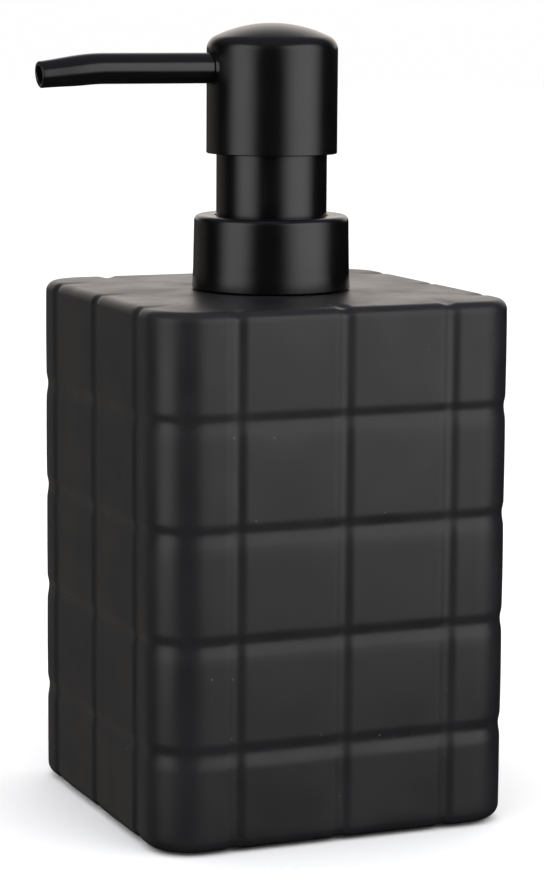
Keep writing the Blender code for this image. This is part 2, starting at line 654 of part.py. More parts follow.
def stem():
    """Hollow stem that carries the soap up to the head, with two side ports behind the piston."""
    foot = PLUG_TOP + GAP
    piece = turned_piece(
        "stem",
        [
            (STEM_RADIUS, STEM_TOP, EDGE_FILLET),
            (STEM_RADIUS, STOP_TOP, 0),
            (STEM_STOP_RADIUS, STOP_TOP, 0),
            (STEM_STOP_RADIUS, STOP_BOTTOM, 0),
            (STEM_RADIUS, STOP_BOTTOM, 0),
            (STEM_RADIUS, foot, 0),
            (STEM_BORE, foot, 0),
            (STEM_BORE, STEM_TOP, 0),
        ],
        NARROW_SEGMENTS,
        CLEAR_PLASTIC,
    )
    port_z = foot + 2 * STEM_PORT_RADIUS
    reach = STEM_RADIUS + OVERRUN
    drill(piece, "stem_ports", STEM_PORT_RADIUS, (-reach, 0, port_z), (reach, 0, port_z), TINY_SEGMENTS)


def piston():
    """Sliding piston with a sealing lip at each end."""
    bore = STEM_RADIUS + GAP
    waist = PISTON_RADIUS - PISTON_LIP_DEPTH
    turned_piece(
        "piston",
        [
            (PISTON_RADIUS, PISTON_TOP, 0),
            (PISTON_RADIUS, PISTON_TOP - PISTON_LIP / 2, 0),
            (waist, PISTON_TOP - PISTON_LIP, 0),
            (waist, PISTON_BOTTOM + PISTON_LIP, 0),
            (PISTON_RADIUS, PISTON_BOTTOM + PISTON_LIP / 2, 0),
            (PISTON_RADIUS, PISTON_BOTTOM, 0),
            (bore, PISTON_BOTTOM, 0),
            (bore, PISTON_TOP, 0),
        ],
        NARROW_SEGMENTS,
        CLEAR_PLASTIC,
    )


def piston_plug():
    """Plug pressed into the stem's foot: the piston closes on its head and the spring pushes on it."""
    shank = STEM_BORE - GAP
    head = HOUSING_BORE - PLUG_HEAD_CLEARANCE
    turned_piece(
        "piston_plug",
        [
            (0, PLUG_TOP + PLUG_SHANK_LENGTH, 0),
            (shank, PLUG_TOP + PLUG_SHANK_LENGTH, 0),
            (shank, PLUG_TOP, 0),
            (head, PLUG_TOP, 0),
            (head, PLUG_TOP - PLUG_HEAD_HEIGHT / 2, 0),
            (SPRING_CORE, PLUG_BOTTOM + PLUG_HEAD_HEIGHT / 2, 0),
            (SPRING_CORE, PLUG_BOTTOM, 0),
            (0, PLUG_BOTTOM, 0),
        ],
        NARROW_SEGMENTS,
        CLEAR_PLASTIC,
        closed=False,
    )


def return_spring():
    """Compression spring between the ball cage and the plug's head, with closed end coils."""
    bottom = CAGE_TOP + GAP + SPRING_WIRE
    top = PLUG_TOP - PLUG_HEAD_HEIGHT / 2 - GAP - SPRING_WIRE
    count = SPRING_COILS * SPRING_STEPS
    points = []
    for step in range(count + 1):
        turns = step / SPRING_STEPS
        angle = math.tau * turns
        if turns < 1:
            z = bottom + SPRING_END_RISE * turns
        elif turns > SPRING_COILS - 1:
            z = top - SPRING_END_RISE * (SPRING_COILS - turns)
        else:
            open_height = top - bottom - 2 * SPRING_END_RISE
            z = bottom + SPRING_END_RISE + open_height * (turns - 1) / (SPRING_COILS - 2)
        points.append((SPRING_RADIUS * math.cos(angle), SPRING_RADIUS * math.sin(angle), z))
    mesh = curve_mesh("return_spring", points, SPRING_WIRE)
    mesh.shade_smooth()
    steel = finish_of("stainless spring wire", (0.6, 0.6, 0.6), 0.25, metallic=1.0)
    add_piece("return_spring", mesh, steel)


def ball_cage():
    """Ring that the spring stands on; its hub keeps the ball in its chamber."""
    hole = BALL_RADIUS - CAGE_HOLD
    turned_piece(
        "ball_cage",
        [
            (SPRING_CORE, CAGE_TOP + CAGE_HUB_HEIGHT, EDGE_FILLET),
            (SPRING_CORE, CAGE_TOP, 0),
            (HOUSING_BORE - GAP, CAGE_TOP, 0),
            (HOUSING_BORE - GAP, CAGE_BOTTOM, 0),
            (hole, CAGE_BOTTOM, 0),
            (hole, CAGE_TOP + CAGE_HUB_HEIGHT, 0),
        ],
        NARROW_SEGMENTS,
        CLEAR_PLASTIC,
    )


def check_ball():
    """Inlet valve ball, resting on the conical seat."""
    shape = bmesh.new()
    bmesh.ops.create_uvsphere(
        shape, u_segments=SMALL_SEGMENTS, v_segments=SMALL_SEGMENTS // 2, radius=BALL_RADIUS
    )
    mesh = mesh_from("check_ball", shape)
    mesh.shade_smooth()
    piece = add_piece("check_ball", mesh, finish_of("stainless ball", (0.6, 0.6, 0.6), 0.15, metallic=1.0))
    piece.location = (0, 0, BALL_MIDDLE)


def dip_tube():
    """Straight tube that draws soap from just above the bottle's floor."""
    tube = sleeve(TUBE_RADIUS, TUBE_RADIUS - TUBE_WALL, TUBE_TOP, TUBE_BOTTOM)
    turned_piece("dip_tube", tube, NARROW_SEGMENTS, CLEAR_PLASTIC)


def nozzle_path():
    """Points along the nozzle's middle: straight, a gentle bend, then straight down to the tip."""
    bend_start = NOZZLE_BEND - NOZZLE_BEND_LENGTH / 2
    radius = NOZZLE_BEND_LENGTH / NOZZLE_BEND_ANGLE
    points = [Vector((-NOZZLE_ROOT, 0, NOZZLE_Z))]
    for step in range(BEND_STEPS + 1):
        angle = NOZZLE_BEND_ANGLE * step / BEND_STEPS
        across = bend_start + radius * math.sin(angle)
        points.append(Vector((-across, 0, NOZZLE_Z - radius * (1 - math.cos(angle)))))
    direction = Vector((-math.cos(NOZZLE_BEND_ANGLE), 0, -math.sin(NOZZLE_BEND_ANGLE)))
    # The tip's cut face leans, so its upper edge reaches further than its middle.
    tip_reach = NOZZLE_REACH - NOZZLE_TIP_RADIUS * math.sin(NOZZLE_BEND_ANGLE)
    half_run = (tip_reach + points[-1].x) / math.cos(NOZZLE_BEND_ANGLE) / 2
    bend_end = points[-1]
    return points + [bend_end + direction * half_run, bend_end + direction * half_run * 2]


def nozzle_tube():
    """Bent tube that tapers to an open tip."""
    path = nozzle_path()
    tip_scale = NOZZLE_TIP_RADIUS / NOZZLE_RADIUS
    scales = [1.0] * (len(path) - 2) + [(1.0 + tip_scale) / 2, tip_scale]
    mesh = curve_mesh("nozzle_tube", path, NOZZLE_RADIUS, scales, resolution=4)
    piece = add_piece("nozzle_tube", mesh, BLACK_COATING)
    before = path[0] + (path[0] - path[1]).normalized() * OVERRUN
    beyond = path[-1] + (path[-1] - path[-2]).normalized() * OVERRUN
    bore = curve_mesh("nozzle_bore", [before, *path[1:-1], beyond], NOZZLE_BORE)
    cut(piece, add_cutter("nozzle_bore", bore))


def head_core():
    """Inner plastic of the head: the stem's socket, the channel and the nozzle's boss."""
    disc_top = HEAD_TOP - CORE_DISC_DROP
    disc_radius = HEAD_BORE - CORE_DISC_CLEARANCE
    column_bottom = STEM_TOP + GAP - CORE_SOCKET_DEPTH
    piece = turned_piece(
        "head_core",
        [
            (0, disc_top, 0),
            (disc_radius, disc_top, 0),
            (disc_radius, disc_top - CORE_DISC_THICKNESS, 0),
            (CORE_COLUMN_RADIUS, disc_top - CORE_DISC_THICKNESS, 0),
            (CORE_COLUMN_RADIUS, column_bottom, 0),
            (0, column_bottom, 0),
        ],
        NARROW_SEGMENTS,
        BLACK_PLASTIC,
        closed=False,
    )
    boss_radius = NOZZLE_RADIUS + GAP + CORE_BOSS_WALL
    boss = rod_mesh("core_boss", boss_radius, (CORE_CHANNEL, 0, NOZZLE_Z), (-BOSS_END, 0, NOZZLE_Z))
    cut(piece, add_cutter("core_boss", boss), "UNION")
    socket_foot, socket_top = (0, 0, column_bottom - OVERRUN), (0, 0, STEM_TOP + GAP)
    drill(piece, "stem_socket", STEM_RADIUS + GAP, socket_foot, socket_top)
    drill(piece, "core_riser", CORE_RISER, (0, 0, STEM_TOP), (0, 0, NOZZLE_Z), TINY_SEGMENTS)
    channel_start = (CORE_RISER + CORE_CHANNEL, 0, NOZZLE_Z)  # past the riser, which opens into its floor
    drill(piece, "core_channel", CORE_CHANNEL, channel_start, (-NOZZLE_ROOT, 0, NOZZLE_Z), SMALL_SEGMENTS)
    seat_end = (-BOSS_END - OVERRUN, 0, NOZZLE_Z)
    drill(piece, "nozzle_seat", NOZZLE_RADIUS + GAP, (GAP - NOZZLE_ROOT, 0, NOZZLE_Z), seat_end)


def head_outline(inset):
    """Half outline of the domed cap, moved in by inset, from the middle of its crown down to the shoulder."""
    dome_middle = HEAD_TOP - HEAD_DOME
    shoulder_middle = HEAD_RADIUS - HEAD_SHOULDER
    # The shoulder's circle touches the crown's from inside, so one runs into the other without an edge.
    meeting = math.asin(shoulder_middle / (HEAD_DOME - HEAD_SHOULDER))
    shoulder_z = dome_middle + (HEAD_DOME - HEAD_SHOULDER) * math.cos(meeting)
    dome, shoulder = HEAD_DOME - inset, HEAD_SHOULDER - inset
    outline = []
    for step in range(DOME_STEPS):
        angle = meeting * step / DOME_STEPS
        outline.append((dome * math.sin(angle), dome_middle + dome * math.cos(angle)))
    for step in range(DOME_STEPS + 1):
        angle = meeting + (math.pi / 2 - meeting) * step / DOME_STEPS
        outline.append((shoulder_middle + shoulder * math.sin(angle), shoulder_z + shoulder * math.cos(angle)))
    return outline


def head_shell():
    """Domed cap over the head's core, open below, with a hole for the nozzle."""
    outline = head_outline(0.0)
    outline += [(HEAD_RADIUS, HEAD_RIM), (HEAD_BORE, HEAD_RIM)]
    outline += reversed(head_outline(HEAD_WALL))
    piece = add_piece("head_shell", turned_mesh("head_shell", outline, closed=False), BLACK_COATING)
    turn(piece, WIDE_SEGMENTS)
    outside = (-2 * HEAD_RADIUS, 0, NOZZLE_Z)
    drill(piece, "nozzle_hole", NOZZLE_RADIUS + GAP, (-NOZZLE_ROOT, 0, NOZZLE_Z), outside)


clear_scene()
PIECES = new_collection("soap_pump_dispenser")
CUTTERS = new_collection("cutters")
BLACK_PLASTIC = finish_of("black moulded plastic", (0.02, 0.02, 0.02), 0.5)
BLACK_COATING = finish_of("satin black coating", (0.012, 0.012, 0.012), 0.35)
CLEAR_PLASTIC = finish_of("natural polypropylene", (0.75, 0.76, 0.76), 0.4)
RUBBER = finish_of("black rubber", (0.015, 0.015, 0.015), 0.8)

bottle()
base_pad()
neck_insert()
mouth_o_ring()
neck_gasket()
closure_ring()
closure_shell()
chimney_sleeve()
pump_housing()
stem_guide()
stem()
piston()
piston_plug()
return_spring()
ball_cage()
check_ball()
dip_tube()
head_core()
head_shell()
nozzle_tube()
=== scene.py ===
import math
import random

import bmesh
import bpy
from mathutils import Matrix, Vector


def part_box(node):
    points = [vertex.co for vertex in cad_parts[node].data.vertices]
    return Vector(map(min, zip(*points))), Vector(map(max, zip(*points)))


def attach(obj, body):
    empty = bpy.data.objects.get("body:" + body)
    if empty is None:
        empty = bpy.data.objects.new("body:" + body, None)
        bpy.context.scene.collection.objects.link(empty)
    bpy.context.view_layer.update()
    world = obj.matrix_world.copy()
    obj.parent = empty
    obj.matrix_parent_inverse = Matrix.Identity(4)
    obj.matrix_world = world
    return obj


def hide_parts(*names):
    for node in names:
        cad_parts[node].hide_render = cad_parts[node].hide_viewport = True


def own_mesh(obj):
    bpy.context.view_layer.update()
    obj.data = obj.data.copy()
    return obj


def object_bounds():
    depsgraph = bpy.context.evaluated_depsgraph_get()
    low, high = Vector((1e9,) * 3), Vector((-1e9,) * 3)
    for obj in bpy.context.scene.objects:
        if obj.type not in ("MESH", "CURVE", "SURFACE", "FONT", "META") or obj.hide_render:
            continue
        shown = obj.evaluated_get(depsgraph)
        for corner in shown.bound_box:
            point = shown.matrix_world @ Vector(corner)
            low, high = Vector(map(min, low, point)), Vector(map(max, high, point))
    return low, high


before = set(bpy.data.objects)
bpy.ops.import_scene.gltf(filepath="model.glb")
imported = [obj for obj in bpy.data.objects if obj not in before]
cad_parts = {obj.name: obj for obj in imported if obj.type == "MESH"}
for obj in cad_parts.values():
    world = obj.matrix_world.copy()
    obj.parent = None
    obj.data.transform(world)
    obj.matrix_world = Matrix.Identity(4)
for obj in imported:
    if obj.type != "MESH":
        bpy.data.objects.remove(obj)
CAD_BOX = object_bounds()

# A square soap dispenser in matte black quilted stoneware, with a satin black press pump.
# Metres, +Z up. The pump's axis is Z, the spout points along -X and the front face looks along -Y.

MM = 0.001

# ---- sizes of the pieces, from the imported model's boxes -----------------------------------------------
BODY_LOW, BODY_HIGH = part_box("bottle")
PAD_LOW, PAD_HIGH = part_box("base_pad")
COLLAR_LOW, COLLAR_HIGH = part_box("closure_shell")
CHIMNEY_LOW, CHIMNEY_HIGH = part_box("chimney_sleeve")
CAP_LOW, CAP_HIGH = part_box("head_shell")
SPOUT_LOW, SPOUT_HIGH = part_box("nozzle_tube")
SPRING_LOW, SPRING_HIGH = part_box("return_spring")
RING_LOW, RING_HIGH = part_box("mouth_o_ring")
NECK_LOW, NECK_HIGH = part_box("neck_insert")
GASKET_LOW, GASKET_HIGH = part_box("neck_gasket")
SCREW_LOW, SCREW_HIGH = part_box("closure_ring")
BARREL_LOW, BARREL_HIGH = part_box("pump_housing")
GUIDE_LOW, GUIDE_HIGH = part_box("stem_guide")
STEM_LOW, STEM_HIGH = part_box("stem")
PISTON_LOW, PISTON_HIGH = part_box("piston")
PLUG_LOW, PLUG_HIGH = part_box("piston_plug")
CAGE_LOW, CAGE_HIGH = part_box("ball_cage")
BALL_LOW, BALL_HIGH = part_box("check_ball")
TUBE_LOW, TUBE_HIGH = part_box("dip_tube")

RUNNING_GAP = 0.3 * MM
SHARP_ANGLE = math.radians(40)  # a piece's edges sharper than this stay crisp
BODY_SHARP_ANGLE = math.radians(55)
MERGE_REACH = 0.001 * MM

# stoneware body
BODY_HALF = BODY_HIGH.x
BODY_CORNER = 9.4 * MM
TOP_FILLET = 2.2 * MM
FOOT_FILLET = 2.6 * MM
MOUTH_RADIUS = RING_HIGH.x + RUNNING_GAP
MOUTH_FILLET = 0.8 * MM
WALL = 5.0 * MM
FLOOR = 5.5 * MM
CEILING = 6.0 * MM
CAVITY_CORNER = 6.0 * MM
CAVITY_FILLET = 3.0 * MM
RECESS_CLEARANCE = 0.3 * MM
TOP_CORNER = 2.0 * MM  # corner of the last square ring on the top, before the rings turn round
CEILING_BREAK = 0.3 * MM  # small chamfer between mouth and ceiling
CEILING_RING = 3.0 * MM  # from the mouth to the ring that the ceiling's faces start from
PAD_CORNER = 5.0 * MM
PAD_EDGE = 0.35 * MM  # rounding of the pad's edges

# quilting
UPRIGHT_DEPTH = 0.44 * MM
UPRIGHT_REACH = 2.3 * MM  # half of an upright groove's width
LEVEL_DEPTH = 0.30 * MM
CROSSING_FILL = 0.12 * MM  # the glaze runs together where two grooves cross
LEVEL_REACH_UP = 2.3 * MM  # a level groove is steep above its middle
LEVEL_REACH_DOWN = 3.2 * MM  # and eases out below it, where the glaze ran
CORNER_TILE = 15.4 * MM  # width of the front's and back's outer tiles
SIDE_CORNER_TILE = 13.9 * MM  # and of the left and right faces'
TILE_ROWS = 5
BOTTOM_ROW = 19.3 * MM
TILE_CROWN = 0.06 * MM
TILE_UNEVENNESS = 0.04 * MM
GROOVE_FADE_TOP = 9.0 * MM  # how far a groove runs in over the top before it is gone
GROOVE_FADE_FOOT = 6.0 * MM
FINE_STEP = 0.42 * MM
WIDE_STEP = 1.6 * MM

# pump
SHELL_WALL = 0.7 * MM
COLLAR_TAPER = 0.2 * MM
COLLAR_FLARE_HEIGHT = 3.7 * MM
COLLAR_FLARE = 0.22 * MM
COLLAR_FLARE_ROUND = 40.0 * MM
COLLAR_TOP_FILLET = 1.2 * MM
CHIMNEY_FLANGE_WIDTH = 1.6 * MM
CHIMNEY_FLANGE = 0.7 * MM
CHIMNEY_WALL = 1.2 * MM
CHIMNEY_FILLET = 0.4 * MM
CAP_WALL = 1.3 * MM
CAP_DOME = 26.0 * MM  # radius of the crown
CAP_SHOULDER = 3.0 * MM  # radius of the rounding between crown and side
SOCKET_PROUD = 0.25 * MM  # of the short ring in the cap that holds the spout
SOCKET_WALL = 0.35 * MM
SOCKET_DRILL_REACH = 1.1  # of the drill, as a share of the distance to the socket's end
SPOUT_RADIUS = SPOUT_HIGH.y
SPOUT_TIP_RADIUS = 2.6 * MM
SPOUT_BORE = 1.7 * MM
SPOUT_BEND = 37.0 * MM
SPOUT_BEND_LENGTH = 4.0 * MM
SPOUT_BEND_ANGLE = math.radians(5.8)
SPOUT_LIP = 0.35 * MM
SPOUT_CLEARANCE = 0.12 * MM  # in its socket
SPRING_WIRE = 0.4 * MM
SPRING_COILS = 7
SPRING_END_PITCH = 2.1 * SPRING_WIRE
EDGE_BREAK = 0.15 * MM  # the small rounding of a moulded edge
MOULDED_FILLET = 0.3 * MM

# threads: a rounded ridge of just over one turn on the neck, and one inside the screw ring
THREAD_PITCH = 3.6 * MM
THREAD_RIDGE = 0.8 * MM
THREAD_TURNS = 1.1
THREAD_END = 0.4  # relative thickness of a ridge's ends
THREAD_CLEARANCE = 0.5 * MM  # from the neck's flange to its ridge
NECK_ROOT = 11.8 * MM
NECK_BORE = 10.2 * MM
NECK_BARREL = 12.4 * MM
NECK_FLANGE = 1.0 * MM
SEAL_GROOVE_HALF = 0.9 * MM
SEAL_GROOVE_FLOOR = 11.3 * MM
SCREW_BORE = 13.2 * MM
SCREW_RIDGE = 13.05 * MM
SCREW_HOLE = 8.9 * MM
SCREW_WEB = 0.8 * MM
NECK_FLANGE_TOP = BODY_HIGH.z + RUNNING_GAP + NECK_FLANGE
NECK_RIDGE_Z = NECK_FLANGE_TOP + THREAD_CLEARANCE + THREAD_RIDGE  # where the neck's ridge starts

# pump works
BARREL_BORE = 6.2 * MM
BARREL_RADIUS = 7.3 * MM
BARREL_FLANGE = 1.0 * MM
BARREL_FLOOR = 1.6 * MM
SPIGOT_RADIUS = 4.4 * MM
TUBE_SOCKET = 3.05 * MM
TUBE_SOCKET_DEPTH = 9.0 * MM
BALL_SEAT = 1.7 * MM
BALL_SEAT_HEIGHT = 1.6 * MM
BALL_CHAMBER = 3.2 * MM
VENT_RADIUS = 0.6 * MM
TUBE_WALL = 0.8 * MM
GUIDE_BOSS = 5.2 * MM
GUIDE_BOSS_HEIGHT = 4.4 * MM
GUIDE_FLANGE = 0.8 * MM
STEM_RADIUS = 3.0 * MM
STEM_BORE = 1.9 * MM
STEM_COLLAR_HEIGHT = 1.7 * MM
STEM_PORT = 0.8 * MM
PISTON_WAIST = 4.6 * MM
PISTON_LIP = 1.6 * MM
PLUG_SHANK = 1.6 * MM
PLUG_HEAD = 2.0 * MM
SPRING_CORE = 3.4 * MM  # radius of what stands inside the spring
CAGE_RIM = 1.2 * MM
CAGE_HOLE = 1.8 * MM


# steps along curves
TURNED_STEPS = 144  # round a seen turned piece
HIDDEN_STEPS = 96  # round a hidden one
FILLET_STEPS = 6
CORNER_STEPS = 14  # round one upright corner of the body
EDGE_STEPS = 9  # over the foot's and the top's fillets
FOOT_STEPS = 6  # under the foot
FADE_STEPS = 12  # where the grooves run out over the top
TOP_STEPS = 8  # from there to the mouth
PAD_EDGE_STEPS = 4
CAP_STEPS = 14
SPOUT_STRAIGHT_STEPS = 12
SPOUT_BEND_STEPS = 10
SPOUT_TIP_STEPS = 8
TUBE_SIDES = 48
WIRE_SIDES = 12
RIDGE_SIDES = 16
COIL_STEPS = 40  # in one turn of the spring
THREAD_STEPS = 60  # in one turn of a thread
THREAD_TAPER_STEPS = 8
SEAL_STEPS = 20
SOCKET_STEPS = 72  # round the socket and its hole
DRILL_STEPS = 24
BALL_STEPS = 24


# ---- small tools --------------------------------------------------------------------------------------
def linear(hex_colour):
    """An sRGB hex colour as linear red, green and blue, with alpha 1."""
    parts = [int(hex_colour[at:at + 2], 16) / 255 for at in (1, 3, 5)]
    return (*(c / 12.92 if c <= 0.04045 else ((c + 0.055) / 1.055) ** 2.4 for c in parts), 1.0)


def per(size_mm):
    """Texture scale, in pattern cells per metre, for a pattern of this real size in millimetres."""
    return 1000.0 / size_mm


def add_node(tree, kind, inputs=None, **settings):
    """Adds a node. inputs gives each socket, by name or number, a value or the output that feeds it."""
    node = tree.nodes.new(kind)
    for setting, value in settings.items():
        setattr(node, setting, value)
    for socket, value in (inputs or {}).items():
        if isinstance(value, bpy.types.NodeSocket):
            tree.links.new(value, node.inputs[socket])
        else:
            node.inputs[socket].default_value = value
    return node


def new_finish(name, **sockets):
    """A material with only its Principled shader, the constants set on the shader's own sockets."""
    material = bpy.data.materials.new(name)
    material.use_nodes = True
    shader = material.node_tree.nodes["Principled BSDF"]
    for socket, value in sockets.items():
        shader.inputs[socket.replace("_", " ")].default_value = value
    return material, material.node_tree, shader


def right_angle(steps=FILLET_STEPS):
    """Angles from 0 to 90 degrees, both ends included."""
    return [math.pi / 2 * step / steps for step in range(steps + 1)]


def rounded(corners):
    """A closed outline: a (radius, z, fillet) corner with a fillet becomes an arc between its sides."""
    outline = []
    for index, (x, z, fillet) in enumerate(corners):
        corner = Vector((x, z))
        if fillet == 0:
            outline.append(corner)
            continue
        before = (Vector(corners[index - 1][:2]) - corner).normalized()
        after = (Vector(corners[(index + 1) % len(corners)][:2]) - corner).normalized()
        half_angle = before.angle(after) / 2
        centre = corner + (before + after).normalized() * fillet / math.sin(half_angle)
        start = corner + before * fillet / math.tan(half_angle) - centre
        end = corner + after * fillet / math.tan(half_angle) - centre
        turn = start.angle_signed(end)
        for step in range(FILLET_STEPS + 1):
            outline.append(centre + Matrix.Rotation(-turn * step / FILLET_STEPS, 2) @ start)
    return outline


def made_from(shape, name):
    """An object made from a bmesh, not in the scene yet."""
    mesh = bpy.data.meshes.new(name)
    shape.to_mesh(mesh)
    shape.free()
    return bpy.data.objects.new(name, mesh)


def put_in_scene(thing):
    bpy.context.scene.collection.objects.link(thing)


def place_piece(name, shape, material, body, stands_for, sharp=SHARP_ANGLE):
    """Makes a piece from a bmesh: faces out, smooth between its sharp edges, riding on its body."""
    bmesh.ops.recalc_face_normals(shape, faces=shape.faces)
    piece = made_from(shape, name)
    piece.data.shade_smooth()
    piece.data.set_sharp_from_angle(angle=sharp)
    piece.data.materials.append(material)
    put_in_scene(piece)
    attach(piece, body)
    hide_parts(stands_for)
    return piece


def turned(outline, steps=TURNED_STEPS, closed=True):
    """A turned shape from (radius, z) points. One that isn't closed starts and ends on the axis."""
    shape = bmesh.new()
    profile = [shape.verts.new((x, 0.0, z)) for x, z in outline]
    first = 0 if closed else 1
    edges = [shape.edges.new((profile[at - 1], profile[at])) for at in range(first, len(profile))]
    bmesh.ops.spin(
        shape, geom=profile + edges, cent=(0, 0, 0), axis=(0, 0, 1),
        angle=math.tau, steps=steps, use_merge=True, use_duplicate=False,
    )
    bmesh.ops.remove_doubles(shape, verts=shape.verts, dist=MERGE_REACH)
    return shape


def skinned(rings, depths=None, joined=False):
    """A surface through rings of equal counts of points. depths gives each point's share of a groove."""
    shape = bmesh.new()
    layer = shape.verts.layers.float.new("groove") if depths else None
    made = [[shape.verts.new(point) for point in ring] for ring in rings]
    for ring, shares in zip(made, depths or []):
        for vert, share in zip(ring, shares):
            vert[layer] = share
    count = len(made[0])
    pairs = list(zip(made, made[1:]))
    if joined:
        pairs.append((made[-1], made[0]))
    for low, high in pairs:
        for at in range(count):
            after = (at + 1) % count
            shape.faces.new((low[at], low[after], high[after], high[at]))
    if not joined:
        shape.faces.new(made[0])
        shape.faces.new(made[-1])
    return shape


def ring_round(centre, along, radius, count=TUBE_SIDES):
    """A ring of points of this radius around a centre, square to the direction."""
    turn = along.to_track_quat("Z", "Y").to_matrix()
    spokes = (math.tau * at / count for at in range(count))
    return [centre + turn @ Vector((radius * math.cos(a), radius * math.sin(a), 0)) for a in spokes]


# ---- finishes -----------------------------------------------------------------------------------------
def matte_black_glaze():
    """Matte black glaze on slip-cast stoneware, fired.

    It gives a deep charcoal with a wide soft sheen, a little smoother where the glaze pooled in the
    grooves, clouded at the scale of a fingertip, with fine peel and a few pale pinholes.
    """
    material, tree, shader = new_finish("matte black stoneware glaze", IOR=1.5, Specular_IOR_Level=0.34)
    place = add_node(tree, "ShaderNodeTexCoord").outputs["Object"]
    clouds = add_node(tree, "ShaderNodeTexNoise", {"Vector": place, "Scale": per(11), "Detail": 3.0})
    peel = add_node(tree, "ShaderNodeTexNoise", {"Vector": place, "Scale": per(1.1), "Detail": 2.0})
    pooled = add_node(tree, "ShaderNodeAttribute", attribute_name="groove").outputs["Fac"]
    charcoal = add_node(
        tree, "ShaderNodeMix",
        {"Factor": clouds.outputs["Fac"], 6: linear("#171718"), 7: linear("#1f1f21")}, data_type="RGBA",
    )
    pinholes = add_node(
        tree, "ShaderNodeTexVoronoi", {"Vector": place, "Scale": per(4.5), "Randomness": 1.0}
    )
    # A pinhole is about 0.15 mm across, drawn twice as wide so that it still shows.
    dot = add_node(
        tree, "ShaderNodeMapRange",
        {
            "Value": pinholes.outputs["Distance"],
            "From Min": 0.035, "From Max": 0.06, "To Min": 1.0, "To Max": 0.0,
        },
    )
    # Only a few of the cells have one.
    some = add_node(
        tree, "ShaderNodeMapRange",
        {
            "Value": pinholes.outputs["Color"],
            "From Min": 0.66, "From Max": 0.72, "To Min": 0.0, "To Max": 0.5,
        },
    )
    shown = add_node(
        tree, "ShaderNodeMath", {0: dot.outputs["Result"], 1: some.outputs["Result"]},
        operation="MULTIPLY",
    )
    speckled = add_node(
        tree, "ShaderNodeMix",
        {"Factor": shown.outputs[0], 6: charcoal.outputs[2], 7: linear("#5c5b5a")}, data_type="RGBA",
    )
    tree.links.new(speckled.outputs[2], shader.inputs["Base Color"])
    cloudy = add_node(
        tree, "ShaderNodeMapRange",
        {
            "Value": clouds.outputs["Fac"],
            "From Min": 0.35, "From Max": 0.65, "To Min": 0.31, "To Max": 0.41,
        },
    )
    eased = add_node(
        tree, "ShaderNodeMath", {0: pooled, 1: -0.05, 2: cloudy.outputs["Result"]},
        operation="MULTIPLY_ADD",
    )
    tree.links.new(eased.outputs[0], shader.inputs["Roughness"])
    waves = add_node(tree, "ShaderNodeTexNoise", {"Vector": place, "Scale": per(16), "Detail": 1.0})
    wavy = add_node(
        tree, "ShaderNodeBump", {"Height": waves.outputs["Fac"], "Strength": 0.25, "Distance": 0.4 * MM}
    )
    bump = add_node(
        tree, "ShaderNodeBump",
        {
            "Height": peel.outputs["Fac"], "Strength": 0.16, "Distance": 0.06 * MM,
            "Normal": wavy.outputs[0],
        },
    )
    tree.links.new(bump.outputs[0], shader.inputs["Normal"])
    return material


def satin_black_lacquer():
    """Satin black lacquer, sprayed on moulded ABS.

    It gives a near black with long soft highlights, faintly grained by the spray.
    """
    material, tree, shader = new_finish("satin black lacquer on ABS", IOR=1.5, Specular_IOR_Level=0.5)
    place = add_node(tree, "ShaderNodeTexCoord").outputs["Object"]
    spray = add_node(tree, "ShaderNodeTexNoise", {"Vector": place, "Scale": per(0.5), "Detail": 3.0})
    flow = add_node(tree, "ShaderNodeTexNoise", {"Vector": place, "Scale": per(7), "Detail": 2.0})
    tone = add_node(
        tree, "ShaderNodeMix",
        {"Factor": spray.outputs["Fac"], 6: linear("#060606"), 7: linear("#0b0b0b")}, data_type="RGBA",
    )
    tree.links.new(tone.outputs[2], shader.inputs["Base Color"])
    sheen = add_node(
        tree, "ShaderNodeMapRange",
        {"Value": flow.outputs["Fac"], "From Min": 0.3, "From Max": 0.7, "To Min": 0.21, "To Max": 0.26},
    )
    tree.links.new(sheen.outputs["Result"], shader.inputs["Roughness"])
    bump = add_node(
        tree, "ShaderNodeBump", {"Height": spray.outputs["Fac"], "Strength": 0.08, "Distance": 0.03 * MM}
    )
    tree.links.new(bump.outputs[0], shader.inputs["Normal"])
    return material


def moulded(name, dark, light, grain_mm, low, high, strength, **sockets):
    """A finish with a grain of this size, mottled between two colours and two roughnesses, with bump."""
    material, tree, shader = new_finish(name, **sockets)
    place = add_node(tree, "ShaderNodeTexCoord").outputs["Object"]
    grain = add_node(tree, "ShaderNodeTexNoise", {"Vector": place, "Scale": per(grain_mm), "Detail": 3.0})
    tone = add_node(
        tree, "ShaderNodeMix", {"Factor": grain.outputs["Fac"], 6: linear(dark), 7: linear(light)},
        data_type="RGBA",
    )
    tree.links.new(tone.outputs[2], shader.inputs["Base Color"])
    sheen = add_node(
        tree, "ShaderNodeMapRange",
        {
            "Value": grain.outputs["Fac"],
            "From Min": 0.3, "From Max": 0.7, "To Min": low, "To Max": high,
        },
    )
    tree.links.new(sheen.outputs["Result"], shader.inputs["Roughness"])
    bump = add_node(
        tree, "ShaderNodeBump",
        {"Height": grain.outputs["Fac"], "Strength": strength, "Distance": 0.1 * MM},
    )
    tree.links.new(bump.outputs[0], shader.inputs["Normal"])
    return material


GLAZE = matte_black_glaze()
LACQUER = satin_black_lacquer()
# Glass-filled black polypropylene, moulded: a dark grey that the eye reads as plastic by its fine grain.
BLACK_POLYPROPYLENE = moulded(
    "black moulded polypropylene", "#161616", "#1e1e1e", 0.6, 0.4, 0.5, 0.15, IOR=1.49
)
